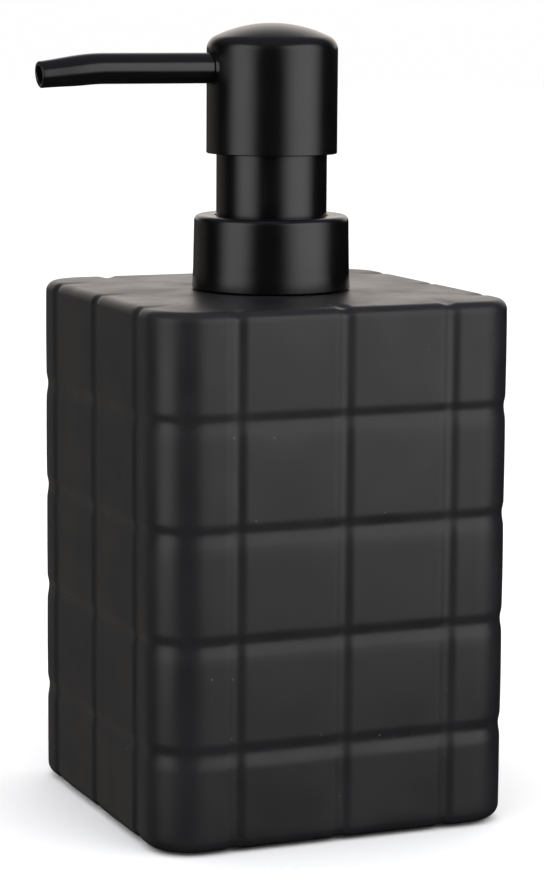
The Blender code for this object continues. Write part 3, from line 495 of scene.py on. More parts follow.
# Natural polypropylene, moulded: milky, waxy and slightly see-through, so it glows a little inside.
MILKY_POLYPROPYLENE = moulded(
    "natural milky polypropylene", "#a0a6a4", "#aeb4b2", 3.0, 0.3, 0.38, 0.05,
    IOR=1.49, Subsurface_Weight=0.35, Subsurface_Radius=(0.0012, 0.0012, 0.0012), Subsurface_Scale=1.0,
)
# Sealing rubber, moulded and tumbled: dull, with no clear highlight.
SEAL_RUBBER = moulded("black sealing rubber", "#131313", "#1c1c1c", 0.4, 0.6, 0.72, 0.25, IOR=1.52)
# Closed-cell foam rubber, cut from sheet: dull, with small cells on its face.
FOAM_RUBBER = moulded("black foam rubber sheet", "#141414", "#242424", 0.5, 0.8, 0.95, 0.9, IOR=1.5)
# Drawn spring wire: bright steel, a little streaky from the die.
SPRING_WIRE_STEEL = moulded(
    "drawn stainless spring wire", "#b9b9b6", "#d0d0ce", 0.3, 0.2, 0.34, 0.15, Metallic=1.0
)
# A ground and polished bearing ball: a near mirror, slightly hazy.
POLISHED_STEEL = moulded(
    "polished stainless ball", "#c4c4c4", "#d4d4d4", 0.8, 0.06, 0.14, 0.03, Metallic=1.0
)


# ---- stoneware body -----------------------------------------------------------------------------------
FLAT_HALF = BODY_HALF - BODY_CORNER  # half of a face's flat part
CORNER_RUN = BODY_CORNER * math.pi / 2  # way round a corner
QUARTER_RUN = 2 * FLAT_HALF + CORNER_RUN
FRONT_UPRIGHT = BODY_HALF - CORNER_TILE  # from a face's middle to its outer grooves
SIDE_UPRIGHT = BODY_HALF - SIDE_CORNER_TILE
ROW_HEIGHT = (BODY_HIGH.z - BODY_LOW.z - BOTTOM_ROW) / (TILE_ROWS - 1)
LEVELS = [BODY_LOW.z + BOTTOM_ROW + at * ROW_HEIGHT for at in range(TILE_ROWS - 1)]
# Every upright groove that a point of one quarter can lie beside, on its own face or round the corner,
# for the front's and back's quarters and for the sides'.
UPRIGHTS_SEEN = [
    [near_end - QUARTER_RUN, -middle, 0.0, middle, QUARTER_RUN - near_end]
    for middle, near_end in ((FRONT_UPRIGHT, SIDE_UPRIGHT), (SIDE_UPRIGHT, FRONT_UPRIGHT))
]
LEVEL_EDGES = [BODY_LOW.z, *LEVELS, BODY_HIGH.z]


def bell(offset, reach):
    """1 in a groove's middle, easing to 0 at its reach."""
    return 0.5 * (1 + math.cos(math.pi * offset / reach)) if abs(offset) < reach else 0.0


def ease(value):
    """Smooth step from 0 to 1."""
    value = min(1.0, max(0.0, value))
    return value * value * (3 - 2 * value)


def stations(start, end, grooves):
    """Places along a line, close together across a groove and further apart on a tile."""
    places, at = [], start
    while at < end - FINE_STEP / 2:
        places.append(at)
        ahead = min((abs(at - groove) for groove in grooves), default=WIDE_STEP)
        at += FINE_STEP if ahead < UPRIGHT_REACH + WIDE_STEP else WIDE_STEP
    return places


def quarter_places():
    """Places round one quarter of the body: along a face, then round the corner after it."""
    grooves = sorted({groove for seen in UPRIGHTS_SEEN for groove in seen[1:4]})
    flat = stations(-FLAT_HALF, FLAT_HALF, grooves)
    return flat + [FLAT_HALF + CORNER_RUN * step / CORNER_STEPS for step in range(CORNER_STEPS)]


PLACES = quarter_places()


def square_ring(half, corner, height, places=None):
    """Points of a rounded square at a height, one for each place, face by face from the front."""
    flat = half - corner
    points = []
    for quarter in range(4):
        turn = Matrix.Rotation(quarter * math.pi / 2, 3, "Z")
        for place in places or PLACES:
            if place <= FLAT_HALF:
                point = Vector((place * flat / FLAT_HALF, -half, height))
            else:
                angle = (place - FLAT_HALF) / BODY_CORNER
                out, back = corner * math.sin(angle), corner * math.cos(angle)
                point = Vector((flat + out, -flat - back, height))
            points.append(turn @ point)
    return points


def outward_ring():
    """Level directions that point out of the body, one for each place."""
    directions = []
    for quarter in range(4):
        turn = Matrix.Rotation(quarter * math.pi / 2, 3, "Z")
        for place in PLACES:
            angle = max(0.0, place - FLAT_HALF) / BODY_CORNER
            directions.append(turn @ Vector((math.sin(angle), -math.cos(angle), 0)))
    return directions


def tile_window(value, edges):
    """How far across its tile a value lies, from -1 to 1, and the number of that tile."""
    for number, (low, high) in enumerate(zip(edges, edges[1:])):
        if value <= high or number == len(edges) - 2:
            return max(-1.0, min(1.0, 2 * (value - low) / (high - low) - 1)), number


def quilting(quarter, place, height, fade, lifts):
    """Depth of the quilting at a place and height, and how deep in a groove that is, from 0 to 1."""
    uprights = UPRIGHTS_SEEN[quarter % 2]
    upright = max(bell(place - groove, UPRIGHT_REACH) for groove in uprights)
    level = 0.0
    for groove in LEVELS:
        reach = LEVEL_REACH_UP if height > groove else LEVEL_REACH_DOWN
        level = max(level, bell(height - groove, reach))
    across, column = tile_window(place, uprights)
    up, row = tile_window(height, LEVEL_EDGES)
    tile = (quarter + (column == 3)) % 4, column % 3, row
    pillow = (1 - across ** 2) * (1 - up ** 2)
    groove = upright + level - upright * level
    grooved = UPRIGHT_DEPTH * upright + LEVEL_DEPTH * level - CROSSING_FILL * upright * level
    depth = grooved - (lifts[tile] + TILE_CROWN) * pillow + TILE_CROWN + TILE_UNEVENNESS
    return depth * fade, groove * fade


def body_profile():
    """Stations up the outside of the body: inset from its side, height, slope angle and groove fade."""
    recess = BODY_HALF - PAD_HIGH.x - RECESS_CLEARANCE
    profile = []
    for step in range(FOOT_STEPS):
        inset = recess + (FOOT_FILLET - recess) * step / FOOT_STEPS
        fade = 1 - ease((inset - FOOT_FILLET) / GROOVE_FADE_FOOT)
        profile.append((inset, BODY_LOW.z, -math.pi / 2, fade))
    for step in range(EDGE_STEPS):
        angle = -math.pi / 2 * (1 - step / EDGE_STEPS)
        inset = FOOT_FILLET * (1 - math.cos(angle))
        profile.append((inset, BODY_LOW.z + FOOT_FILLET * (1 + math.sin(angle)), angle, 1.0))
    for height in stations(BODY_LOW.z + FOOT_FILLET, BODY_HIGH.z - TOP_FILLET, LEVELS):
        profile.append((0.0, height, 0.0, 1.0))
    fade_end = GROOVE_FADE_TOP + TOP_FILLET
    for angle in right_angle(EDGE_STEPS):
        inset = TOP_FILLET * (1 - math.cos(angle))
        height = BODY_HIGH.z - TOP_FILLET * (1 - math.sin(angle))
        profile.append((inset, height, angle, 1 - ease(inset / fade_end)))
    for step in range(1, FADE_STEPS + 1):
        inset = TOP_FILLET + step * GROOVE_FADE_TOP / FADE_STEPS
        profile.append((inset, BODY_HIGH.z, math.pi / 2, 1 - ease(inset / fade_end)))
    return profile


def quilted_body():
    """Slip-cast body: quilted outside, with a round mouth, a smooth hollow and a recess for the pad."""
    dice = random.Random(11)
    lifts = {
        (quarter, column, row): dice.uniform(-1, 1) * TILE_UNEVENNESS
        for quarter in range(4) for column in range(3) for row in range(TILE_ROWS)
    }
    rings, depths = [], []

    def plain(ring):
        rings.append(ring)
        depths.append([0.0] * len(ring))

    pad_half = PAD_HIGH.x + RECESS_CLEARANCE
    recess_roof = PAD_HIGH.z + RECESS_CLEARANCE
    for share in (0.1, 0.5, 0.97, 1.0):
        plain(square_ring(pad_half * share, PAD_CORNER * share, recess_roof))
    outward = outward_ring()
    for inset, height, angle, fade in body_profile():
        corner = max(BODY_CORNER - inset, TOP_CORNER)
        ring, grooves = [], []
        for at, point in enumerate(square_ring(BODY_HALF - inset, corner, height)):
            quarter, place = divmod(at, len(PLACES))
            depth, groove = quilting(quarter, PLACES[place], height, fade, lifts)
            normal = outward[at] * math.cos(angle) + Vector((0, 0, math.sin(angle)))
            ring.append(point - normal * depth)
            grooves.append(groove)
        rings.append(ring)
        depths.append(grooves)
    last_square = rings[-1]

    def mouth_ring(radius, height):
        spokes = (Vector((point.x, point.y, 0)).normalized() for point in last_square)
        return [spoke * radius + Vector((0, 0, height)) for spoke in spokes]

    edge = mouth_ring(MOUTH_RADIUS + MOUTH_FILLET, BODY_HIGH.z)
    for step in range(1, TOP_STEPS):
        share = step / TOP_STEPS
        plain([here.lerp(there, share) for here, there in zip(last_square, edge)])
    for angle in right_angle():
        radius = MOUTH_RADIUS + MOUTH_FILLET * (1 - math.sin(angle))
        plain(mouth_ring(radius, BODY_HIGH.z - MOUTH_FILLET * (1 - math.cos(angle))))
    ceiling = BODY_HIGH.z - CEILING
    bottom = BODY_LOW.z + FLOOR
    cavity = BODY_HALF - WALL
    plain(mouth_ring(MOUTH_RADIUS, ceiling + CEILING_BREAK))
    plain(mouth_ring(MOUTH_RADIUS + CEILING_BREAK, ceiling))
    plain(mouth_ring(MOUTH_RADIUS + CEILING_RING, ceiling))
    for angle in right_angle():
        inset = CAVITY_FILLET * (1 - math.sin(angle))
        corner = CAVITY_CORNER - inset
        plain(square_ring(cavity - inset, corner, ceiling - CAVITY_FILLET * (1 - math.cos(angle))))
    for angle in right_angle()[1:]:
        inset = CAVITY_FILLET * (1 - math.cos(angle))
        height = bottom + CAVITY_FILLET * (1 - math.sin(angle))
        plain(square_ring(cavity - inset, CAVITY_CORNER - inset, height))
    for share in (0.6, 0.1):
        plain(square_ring(cavity * share, CAVITY_CORNER * share, bottom))
    shape = skinned(rings, depths)
    place_piece("quilted_body", shape, GLAZE, "bottle", "bottle", BODY_SHARP_ANGLE)


def foot_pad():
    """Thin foam pad glued into the foot, with softly rounded edges."""
    def pad_ring(share, inset, height):
        return square_ring(PAD_HIGH.x * share - inset, PAD_CORNER * share - inset, height)

    rings = [pad_ring(0.2, 0, PAD_LOW.z), pad_ring(0.6, 0, PAD_LOW.z)]
    for angle in right_angle(PAD_EDGE_STEPS):
        height = PAD_LOW.z + PAD_EDGE * (1 - math.cos(angle))
        rings.append(pad_ring(1, PAD_EDGE * (1 - math.sin(angle)), height))
    for angle in right_angle(PAD_EDGE_STEPS):
        height = PAD_HIGH.z - PAD_EDGE * (1 - math.sin(angle))
        rings.append(pad_ring(1, PAD_EDGE * (1 - math.cos(angle)), height))
    rings.append(pad_ring(0.2, 0, PAD_HIGH.z))
    shape = skinned(rings)
    pad = place_piece("foot_pad", shape, FOAM_RUBBER, "bottle", "base_pad")


# ---- pump, seen pieces --------------------------------------------------------------------------------
def collar():
    """Pressed shell over the screw ring, drawn with a slight taper and a foot that flares a little."""
    radius = COLLAR_HIGH.x - COLLAR_FLARE
    bore = radius - SHELL_WALL
    hole = CHIMNEY_HIGH.x - CHIMNEY_FLANGE_WIDTH + RUNNING_GAP
    foot, top = COLLAR_LOW.z, COLLAR_HIGH.z
    corners = [
        (radius - COLLAR_TAPER, top, COLLAR_TOP_FILLET),
        (radius, foot + COLLAR_FLARE_HEIGHT, COLLAR_FLARE_ROUND),
        (COLLAR_HIGH.x, foot, EDGE_BREAK),
        (bore, foot, EDGE_BREAK),
        (bore - COLLAR_TAPER, top - SHELL_WALL, COLLAR_TOP_FILLET - SHELL_WALL),
        (hole, top - SHELL_WALL, 0),
        (hole, top, EDGE_BREAK),
    ]
    place_piece(
        "collar", turned(rounded(corners)), LACQUER, "closure", "closure_shell"
    )


def chimney():
    """Sleeve that stands up from the collar, which the head slides down over."""
    radius = CHIMNEY_HIGH.x - CHIMNEY_FLANGE_WIDTH
    low, top = CHIMNEY_LOW.z, CHIMNEY_HIGH.z
    corners = [
        (radius, top, CHIMNEY_FILLET),
        (radius, low + CHIMNEY_FLANGE, 0),
        (CHIMNEY_HIGH.x, low + CHIMNEY_FLANGE, EDGE_BREAK),
        (CHIMNEY_HIGH.x, low, EDGE_BREAK),
        (radius - CHIMNEY_WALL, low, EDGE_BREAK),
        (radius - CHIMNEY_WALL, top, CHIMNEY_FILLET),
    ]
    place_piece(
        "chimney", turned(rounded(corners)), LACQUER, "closure", "chimney_sleeve"
    )


def cap_outline(inset):
    """Half outline of the domed cap, moved in by inset, from its crown's middle to its shoulder."""
    dome_middle = CAP_HIGH.z - CAP_DOME
    shoulder_middle = CAP_HIGH.x - CAP_SHOULDER
    # The shoulder's circle touches the crown's from inside, so one runs into the other without an edge.
    meeting = math.asin(shoulder_middle / (CAP_DOME - CAP_SHOULDER))
    shoulder_z = dome_middle + (CAP_DOME - CAP_SHOULDER) * math.cos(meeting)
    dome, shoulder = CAP_DOME - inset, CAP_SHOULDER - inset
    outline = []
    for step in range(CAP_STEPS):
        angle = meeting * step / CAP_STEPS
        outline.append((dome * math.sin(angle), dome_middle + dome * math.cos(angle)))
    for step in range(CAP_STEPS + 1):
        angle = meeting + (math.pi / 2 - meeting) * step / CAP_STEPS
        radius = shoulder_middle + shoulder * math.sin(angle)
        outline.append((radius, shoulder_z + shoulder * math.cos(angle)))
    return outline


def plug(name, radius, start, end, steps=SOCKET_STEPS):
    """A cylinder between two points, to join to a piece or cut out of it."""
    shape = bmesh.new()
    along = end - start
    bmesh.ops.create_cone(
        shape, cap_ends=True, segments=steps, radius1=radius, radius2=radius, depth=along.length
    )
    turn = along.to_track_quat("Z", "Y").to_matrix().to_4x4()
    bmesh.ops.transform(shape, matrix=Matrix.Translation((start + end) / 2) @ turn, verts=shape.verts)
    return made_from(shape, name)


def carve(piece, tool, operation):
    """Joins a plug to a piece or cuts it out, for good, and removes the plug."""
    put_in_scene(tool)
    boolean = piece.modifiers.new(tool.name, "BOOLEAN")
    boolean.operation = operation
    boolean.solver = "EXACT"
    boolean.object = tool
    bpy.context.view_layer.update()
    finished = piece.evaluated_get(bpy.context.evaluated_depsgraph_get())
    carved = bpy.data.meshes.new_from_object(finished)
    piece.modifiers.remove(boolean)
    piece.data = carved
    bpy.data.objects.remove(tool)


def domed_cap():
    """Cap of the head, open below, with a short round socket that the spout comes out of."""
    rim, bore = CAP_LOW.z, CAP_HIGH.x - CAP_WALL
    outline = cap_outline(0.0)
    outline += [(CAP_HIGH.x, rim + EDGE_BREAK), (CAP_HIGH.x - EDGE_BREAK, rim)]
    outline += [(bore + EDGE_BREAK, rim), (bore, rim + EDGE_BREAK)]
    outline += reversed(cap_outline(CAP_WALL))
    cap = place_piece(
        "domed_cap", turned(outline, closed=False), LACQUER, "head", "head_shell"
    )
    spout_z = SPOUT_HIGH.z - SPOUT_RADIUS
    inside = Vector((-bore + CAP_WALL, 0, spout_z))
    socket_end = Vector((-CAP_HIGH.x - SOCKET_PROUD, 0, spout_z))
    outside = socket_end * Vector((SOCKET_DRILL_REACH, 0, 1))
    hole = SPOUT_RADIUS + SPOUT_CLEARANCE
    carve(cap, plug("socket", hole + SOCKET_WALL, Vector((-bore, 0, spout_z)), socket_end), "UNION")
    carve(cap, plug("socket_hole", hole, inside, outside), "DIFFERENCE")
    cap.data.set_sharp_from_angle(angle=SHARP_ANGLE)


def spout_path():
    """Stations along the spout's middle, each a point and the way it runs there."""
    height = SPOUT_HIGH.z - SPOUT_RADIUS
    bend_start = SPOUT_BEND - SPOUT_BEND_LENGTH / 2
    radius = SPOUT_BEND_LENGTH / SPOUT_BEND_ANGLE
    path = []
    for step in range(SPOUT_STRAIGHT_STEPS):
        across = -SPOUT_HIGH.x + (bend_start + SPOUT_HIGH.x) * step / SPOUT_STRAIGHT_STEPS
        path.append((Vector((-across, 0, height)), 0.0))
    for step in range(SPOUT_BEND_STEPS + 1):
        angle = SPOUT_BEND_ANGLE * step / SPOUT_BEND_STEPS
        across = bend_start + radius * math.sin(angle)
        path.append((Vector((-across, 0, height - radius * (1 - math.cos(angle)))), angle))
    end = path[-1][0]
    down = Vector((-math.cos(SPOUT_BEND_ANGLE), 0, -math.sin(SPOUT_BEND_ANGLE)))
    reach = -SPOUT_LOW.x - SPOUT_TIP_RADIUS * math.sin(SPOUT_BEND_ANGLE)
    run = (reach + end.x) / math.cos(SPOUT_BEND_ANGLE)
    for step in range(1, SPOUT_TIP_STEPS + 1):
        path.append((end + down * run * step / SPOUT_TIP_STEPS, SPOUT_BEND_ANGLE))
    return path


def spout():
    """Bent tube that tapers to an open tip with a rounded lip."""
    path = spout_path()
    bend_end = len(path) - 1 - SPOUT_TIP_STEPS
    outer, inner, lip_rings = [], [], []
    for at, (point, angle) in enumerate(path):
        along = Vector((-math.cos(angle), 0, -math.sin(angle)))
        taper = max(0.0, (at - bend_end) / SPOUT_TIP_STEPS)
        radius = SPOUT_RADIUS + (SPOUT_TIP_RADIUS - SPOUT_RADIUS) * ease(taper)
        if at < len(path) - 1:
            outer.append(ring_round(point, along, radius))
            inner.append(ring_round(point, along, SPOUT_BORE))
    for turn in right_angle():
        back = along * SPOUT_LIP * (1 - math.sin(turn))
        radius = SPOUT_TIP_RADIUS - SPOUT_LIP * (1 - math.cos(turn))
        lip_rings.append(ring_round(point - back, along, radius))
    for turn in right_angle():
        back = along * SPOUT_LIP * (1 - math.cos(turn))
        radius = SPOUT_BORE + SPOUT_LIP * (1 - math.sin(turn))
        lip_rings.append(ring_round(point - back, along, radius))
    shape = skinned(outer + lip_rings + inner[::-1], joined=True)
    place_piece("spout", shape, LACQUER, "head", "nozzle_tube")


# ---- pump, hidden pieces ------------------------------------------------------------------------------
def coil_spring():
    """Wound wire spring with closed end coils, which shortens as the head goes down."""
    radius = SPRING_HIGH.x - SPRING_WIRE
    low, high = SPRING_LOW.z + SPRING_WIRE, SPRING_HIGH.z - SPRING_WIRE
    turns = SPRING_COILS + 2
    open_pitch = (high - low - 2 * SPRING_END_PITCH) / SPRING_COILS
    rings = []
    for step in range(turns * COIL_STEPS + 1):
        wound = step / COIL_STEPS
        closed = min(wound, 1.0) + max(0.0, wound - turns + 1)
        height = low + closed * SPRING_END_PITCH + (wound - closed) * open_pitch
        angle = math.tau * wound
        centre = Vector((radius * math.cos(angle), radius * math.sin(angle), height))
        along = Vector((-math.sin(angle), math.cos(angle), open_pitch / (math.tau * radius)))
        rings.append(ring_round(centre, along.normalized(), SPRING_WIRE, WIRE_SIDES))
    shape = skinned(rings)
    spring = place_piece(
        "coil_spring", shape, SPRING_WIRE_STEEL, "spring", "return_spring"
    )
    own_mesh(spring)


def turned_part(name, corners, finish, body, node, closed=True):
    """A turned piece of the pump works, from (radius, z, fillet) corners."""
    outline = rounded(corners) if closed else [(x, z) for x, z, _ in corners]
    return place_piece(name, turned(outline, HIDDEN_STEPS, closed), finish, body, node)


def plain_sleeve(outer, inner, low, high, fillet=EDGE_BREAK):
    """Corners of a plain ring or tube."""
    return [(outer, high, fillet), (outer, low, fillet), (inner, low, fillet), (inner, high, fillet)]


def thread(name, radius, start_turn, start_z):
    """A rounded right-hand ridge, thinning out at its ends, to join to a piece."""
    count = round(THREAD_TURNS * THREAD_STEPS)
    rings = []
    for step in range(count + 1):
        turns = step / THREAD_STEPS
        angle = math.tau * (start_turn + turns)
        height = start_z + THREAD_PITCH * turns
        middle = Vector((radius * math.cos(angle), radius * math.sin(angle), height))
        along = Vector((-math.sin(angle), math.cos(angle), THREAD_PITCH / (math.tau * radius)))
        from_end = min(step, count - step) / THREAD_TAPER_STEPS
        size = min(1.0, THREAD_END + (1 - THREAD_END) * from_end)
        rings.append(ring_round(middle, along.normalized(), THREAD_RIDGE * size, RIDGE_SIDES))
    shape = skinned(rings)
    bmesh.ops.recalc_face_normals(shape, faces=shape.faces)
    return made_from(shape, name)


def neck_and_seals():
    """Threaded neck in the mouth, its rubber ring, and the washer under the pump's flange."""
    flange_low = NECK_FLANGE_TOP - NECK_FLANGE
    seal_z = (RING_LOW.z + RING_HIGH.z) / 2
    neck = turned_part(
        "threaded_neck",
        [
            (NECK_ROOT, NECK_HIGH.z, MOULDED_FILLET),
            (NECK_ROOT, NECK_FLANGE_TOP, MOULDED_FILLET),
            (NECK_HIGH.x, NECK_FLANGE_TOP, EDGE_BREAK),
            (NECK_HIGH.x, flange_low, EDGE_BREAK),
            (NECK_BARREL, flange_low, 0),
            (NECK_BARREL, seal_z + SEAL_GROOVE_HALF, EDGE_BREAK),
            (SEAL_GROOVE_FLOOR, seal_z + SEAL_GROOVE_HALF, 0),
            (SEAL_GROOVE_FLOOR, seal_z - SEAL_GROOVE_HALF, 0),
            (NECK_BARREL, seal_z - SEAL_GROOVE_HALF, EDGE_BREAK),
            (NECK_BARREL, NECK_LOW.z, MOULDED_FILLET),
            (NECK_BORE, NECK_LOW.z, EDGE_BREAK),
            (NECK_BORE, NECK_HIGH.z, MOULDED_FILLET),
        ],
        BLACK_POLYPROPYLENE, "bottle", "neck_insert",
    )
    carve(neck, thread("neck_thread", NECK_ROOT + RUNNING_GAP, 0.0, NECK_RIDGE_Z), "UNION")

    seal_radius = (RING_HIGH.z - RING_LOW.z) / 2
    middle = RING_HIGH.x - seal_radius
    section = [math.tau * step / SEAL_STEPS for step in range(SEAL_STEPS)]
    circle = [(middle + seal_radius * math.cos(a), seal_z + seal_radius * math.sin(a)) for a in section]
    ring = turned(circle, HIDDEN_STEPS)
    place_piece("mouth_seal", ring, SEAL_RUBBER, "bottle", "mouth_o_ring")
    turned_part(
        "neck_washer",
        plain_sleeve(GASKET_HIGH.x, BARREL_RADIUS + RUNNING_GAP, GASKET_LOW.z, GASKET_HIGH.z),
        SEAL_RUBBER, "gasket", "neck_gasket",
    )


def screw_ring():
    """Inner ring of the collar, with the thread that grips the neck and the web that holds the pump."""
    ring = turned_part(
        "screw_ring",
        [
            (SCREW_HIGH.x, SCREW_HIGH.z, MOULDED_FILLET),
            (SCREW_HIGH.x, SCREW_LOW.z, EDGE_BREAK),
            (SCREW_BORE, SCREW_LOW.z, EDGE_BREAK),
            (SCREW_BORE, SCREW_HIGH.z - SCREW_WEB, 0),
            (SCREW_HOLE, SCREW_HIGH.z - SCREW_WEB, EDGE_BREAK),
            (SCREW_HOLE, SCREW_HIGH.z, EDGE_BREAK),
        ],
        BLACK_POLYPROPYLENE, "closure", "closure_ring",
    )
    ridge_z = SCREW_LOW.z + THREAD_RIDGE
    # Half a turn on from the neck's ridge, so that one lies between the other's turns.
    start_turn = (ridge_z - NECK_RIDGE_Z) / THREAD_PITCH + 0.5
    carve(ring, thread("ring_thread", SCREW_RIDGE, start_turn, ridge_z), "UNION")


def pump_works():
    """Barrel, guide, stem, piston, plug, cage, ball and dip tube, all moulded apart from the ball."""
    seat = BARREL_LOW.z + TUBE_SOCKET_DEPTH
    floor = CAGE_LOW.z - RUNNING_GAP
    barrel = turned_part(
        "pump_barrel",
        [
            (BARREL_HIGH.x, BARREL_HIGH.z, EDGE_BREAK),
            (BARREL_HIGH.x, BARREL_HIGH.z - BARREL_FLANGE, EDGE_BREAK),
            (BARREL_RADIUS, BARREL_HIGH.z - BARREL_FLANGE, MOULDED_FILLET),
            (BARREL_RADIUS, floor - BARREL_FLOOR, BARREL_FLOOR),
            (SPIGOT_RADIUS, floor - BARREL_FLOOR, MOULDED_FILLET),
            (SPIGOT_RADIUS, BARREL_LOW.z, EDGE_BREAK),
            (TUBE_SOCKET, BARREL_LOW.z, EDGE_BREAK),
            (TUBE_SOCKET, seat, 0),
            (BALL_SEAT, seat, 0),
            (BALL_CHAMBER, seat + BALL_SEAT_HEIGHT, 0),
            (BALL_CHAMBER, floor, EDGE_BREAK),
            (BARREL_BORE, floor, 0),
            (BARREL_BORE, BARREL_HIGH.z, EDGE_BREAK),
        ],
        MILKY_POLYPROPYLENE, "pump", "pump_housing",
    )
    vent = Vector((0, 0, GUIDE_LOW.z - STEM_COLLAR_HEIGHT))
    vent_end = vent + Vector((2 * BARREL_RADIUS, 0, 0))
    carve(barrel, plug("vent", VENT_RADIUS, vent, vent_end, DRILL_STEPS), "DIFFERENCE")

    flange_low = GUIDE_HIGH.z - GUIDE_BOSS_HEIGHT - GUIDE_FLANGE
    bore = STEM_RADIUS + RUNNING_GAP
    turned_part(
        "stem_bush",
        [
            (GUIDE_BOSS, GUIDE_HIGH.z, MOULDED_FILLET),
            (GUIDE_BOSS, flange_low + GUIDE_FLANGE, MOULDED_FILLET),
            (GUIDE_HIGH.x, flange_low + GUIDE_FLANGE, EDGE_BREAK),
            (GUIDE_HIGH.x, flange_low, EDGE_BREAK),
            (BARREL_BORE - RUNNING_GAP, flange_low, 0),
            (BARREL_BORE - RUNNING_GAP, GUIDE_LOW.z, MOULDED_FILLET),
            (bore, GUIDE_LOW.z, EDGE_BREAK),
            (bore, GUIDE_HIGH.z, EDGE_BREAK),
        ],
        BLACK_POLYPROPYLENE, "pump", "stem_guide",
    )

    collar_high = GUIDE_LOW.z - RUNNING_GAP
    stem = turned_part(
        "hollow_stem",
        [
            (STEM_RADIUS, STEM_HIGH.z, MOULDED_FILLET),
            (STEM_RADIUS, collar_high, 0),
            (STEM_HIGH.x, collar_high, EDGE_BREAK),
            (STEM_HIGH.x, collar_high - STEM_COLLAR_HEIGHT, EDGE_BREAK),
            (STEM_RADIUS, collar_high - STEM_COLLAR_HEIGHT, 0),
            (STEM_RADIUS, STEM_LOW.z, EDGE_BREAK),
            (STEM_BORE, STEM_LOW.z, EDGE_BREAK),
            (STEM_BORE, STEM_HIGH.z, EDGE_BREAK),
        ],
        MILKY_POLYPROPYLENE, "head", "stem",
    )
    port = Vector((2 * STEM_RADIUS, 0, 0))
    port_z = Vector((0, 0, STEM_LOW.z + 2 * STEM_PORT))
    ports = plug("stem_ports", STEM_PORT, port_z - port, port_z + port, DRILL_STEPS)
    carve(stem, ports, "DIFFERENCE")

    turned_part(
        "lipped_piston",
        [
            (PISTON_HIGH.x, PISTON_HIGH.z, EDGE_BREAK),
            (PISTON_HIGH.x, PISTON_HIGH.z - PISTON_LIP / 2, EDGE_BREAK),
            (PISTON_WAIST, PISTON_HIGH.z - PISTON_LIP, EDGE_BREAK),
            (PISTON_WAIST, PISTON_LOW.z + PISTON_LIP, EDGE_BREAK),
            (PISTON_HIGH.x, PISTON_LOW.z + PISTON_LIP / 2, EDGE_BREAK),
            (PISTON_HIGH.x, PISTON_LOW.z, EDGE_BREAK),
            (bore, PISTON_LOW.z, EDGE_BREAK),
            (bore, PISTON_HIGH.z, EDGE_BREAK),
        ],
        MILKY_POLYPROPYLENE, "piston", "piston",
    )
    plug_top = STEM_LOW.z - RUNNING_GAP
    turned_part(
        "valve_plug",
        [
            (0, PLUG_HIGH.z, 0),
            (PLUG_SHANK, PLUG_HIGH.z, 0),
            (PLUG_SHANK, plug_top, 0),
            (PLUG_HIGH.x, plug_top, 0),
            (PLUG_HIGH.x, plug_top - PLUG_HEAD / 2, 0),
            (SPRING_CORE, PLUG_LOW.z + PLUG_HEAD / 2, 0),
            (SPRING_CORE, PLUG_LOW.z, 0),
            (0, PLUG_LOW.z, 0),
        ],
        MILKY_POLYPROPYLENE, "head", "piston_plug", closed=False,
    )
    turned_part(
        "ball_stop",
        [
            (SPRING_CORE, CAGE_HIGH.z, MOULDED_FILLET),
            (SPRING_CORE, CAGE_LOW.z + CAGE_RIM, 0),
            (CAGE_HIGH.x, CAGE_LOW.z + CAGE_RIM, EDGE_BREAK),
            (CAGE_HIGH.x, CAGE_LOW.z, EDGE_BREAK),
            (CAGE_HOLE, CAGE_LOW.z, EDGE_BREAK),
            (CAGE_HOLE, CAGE_HIGH.z, EDGE_BREAK),
        ],
        MILKY_POLYPROPYLENE, "pump", "ball_cage",
    )
    turned_part(
        "suction_tube",
        plain_sleeve(TUBE_HIGH.x, TUBE_HIGH.x - TUBE_WALL, TUBE_LOW.z, TUBE_HIGH.z),
        MILKY_POLYPROPYLENE, "pump", "dip_tube",
    )
    ball_radius = (BALL_HIGH.z - BALL_LOW.z) / 2
    half_turn = [math.pi * step / BALL_STEPS for step in range(BALL_STEPS + 1)]
    arc = [
        (ball_radius * math.sin(a), BALL_LOW.z + ball_radius * (1 + math.cos(a)), 0) for a in half_turn
    ]
    turned_part("valve_ball", arc, POLISHED_STEEL, "ball", "check_ball", closed=False)


def kept_head_core():
    """The core inside the cap keeps its modelled shape, in the same plastic as the screw ring."""
    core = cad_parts["head_core"]
    core.data.materials.clear()
    core.data.materials.append(BLACK_POLYPROPYLENE)


# ---- floor, light and camera --------------------------------------------------------------------------
VIEW_AZIMUTH = math.radians(-22.741)
VIEW_ELEVATION = math.radians(8.559)
VIEW_DISTANCE = 594.5 * MM
VIEW_HEIGHT = 74.53 * MM  # height of the point looked at
VIEW_SIDE = 0.52 * MM
VIEW_ROLL = math.radians(0.371)
LENS_MM = 122.08
BACKDROP_RADIUS = 4.5  # metres


def toward(azimuth, elevation):
    """Direction from the object to something at this azimuth and elevation, seen from the front."""
    level = math.cos(elevation)
    return Vector((math.sin(azimuth) * level, -math.cos(azimuth) * level, math.sin(elevation)))


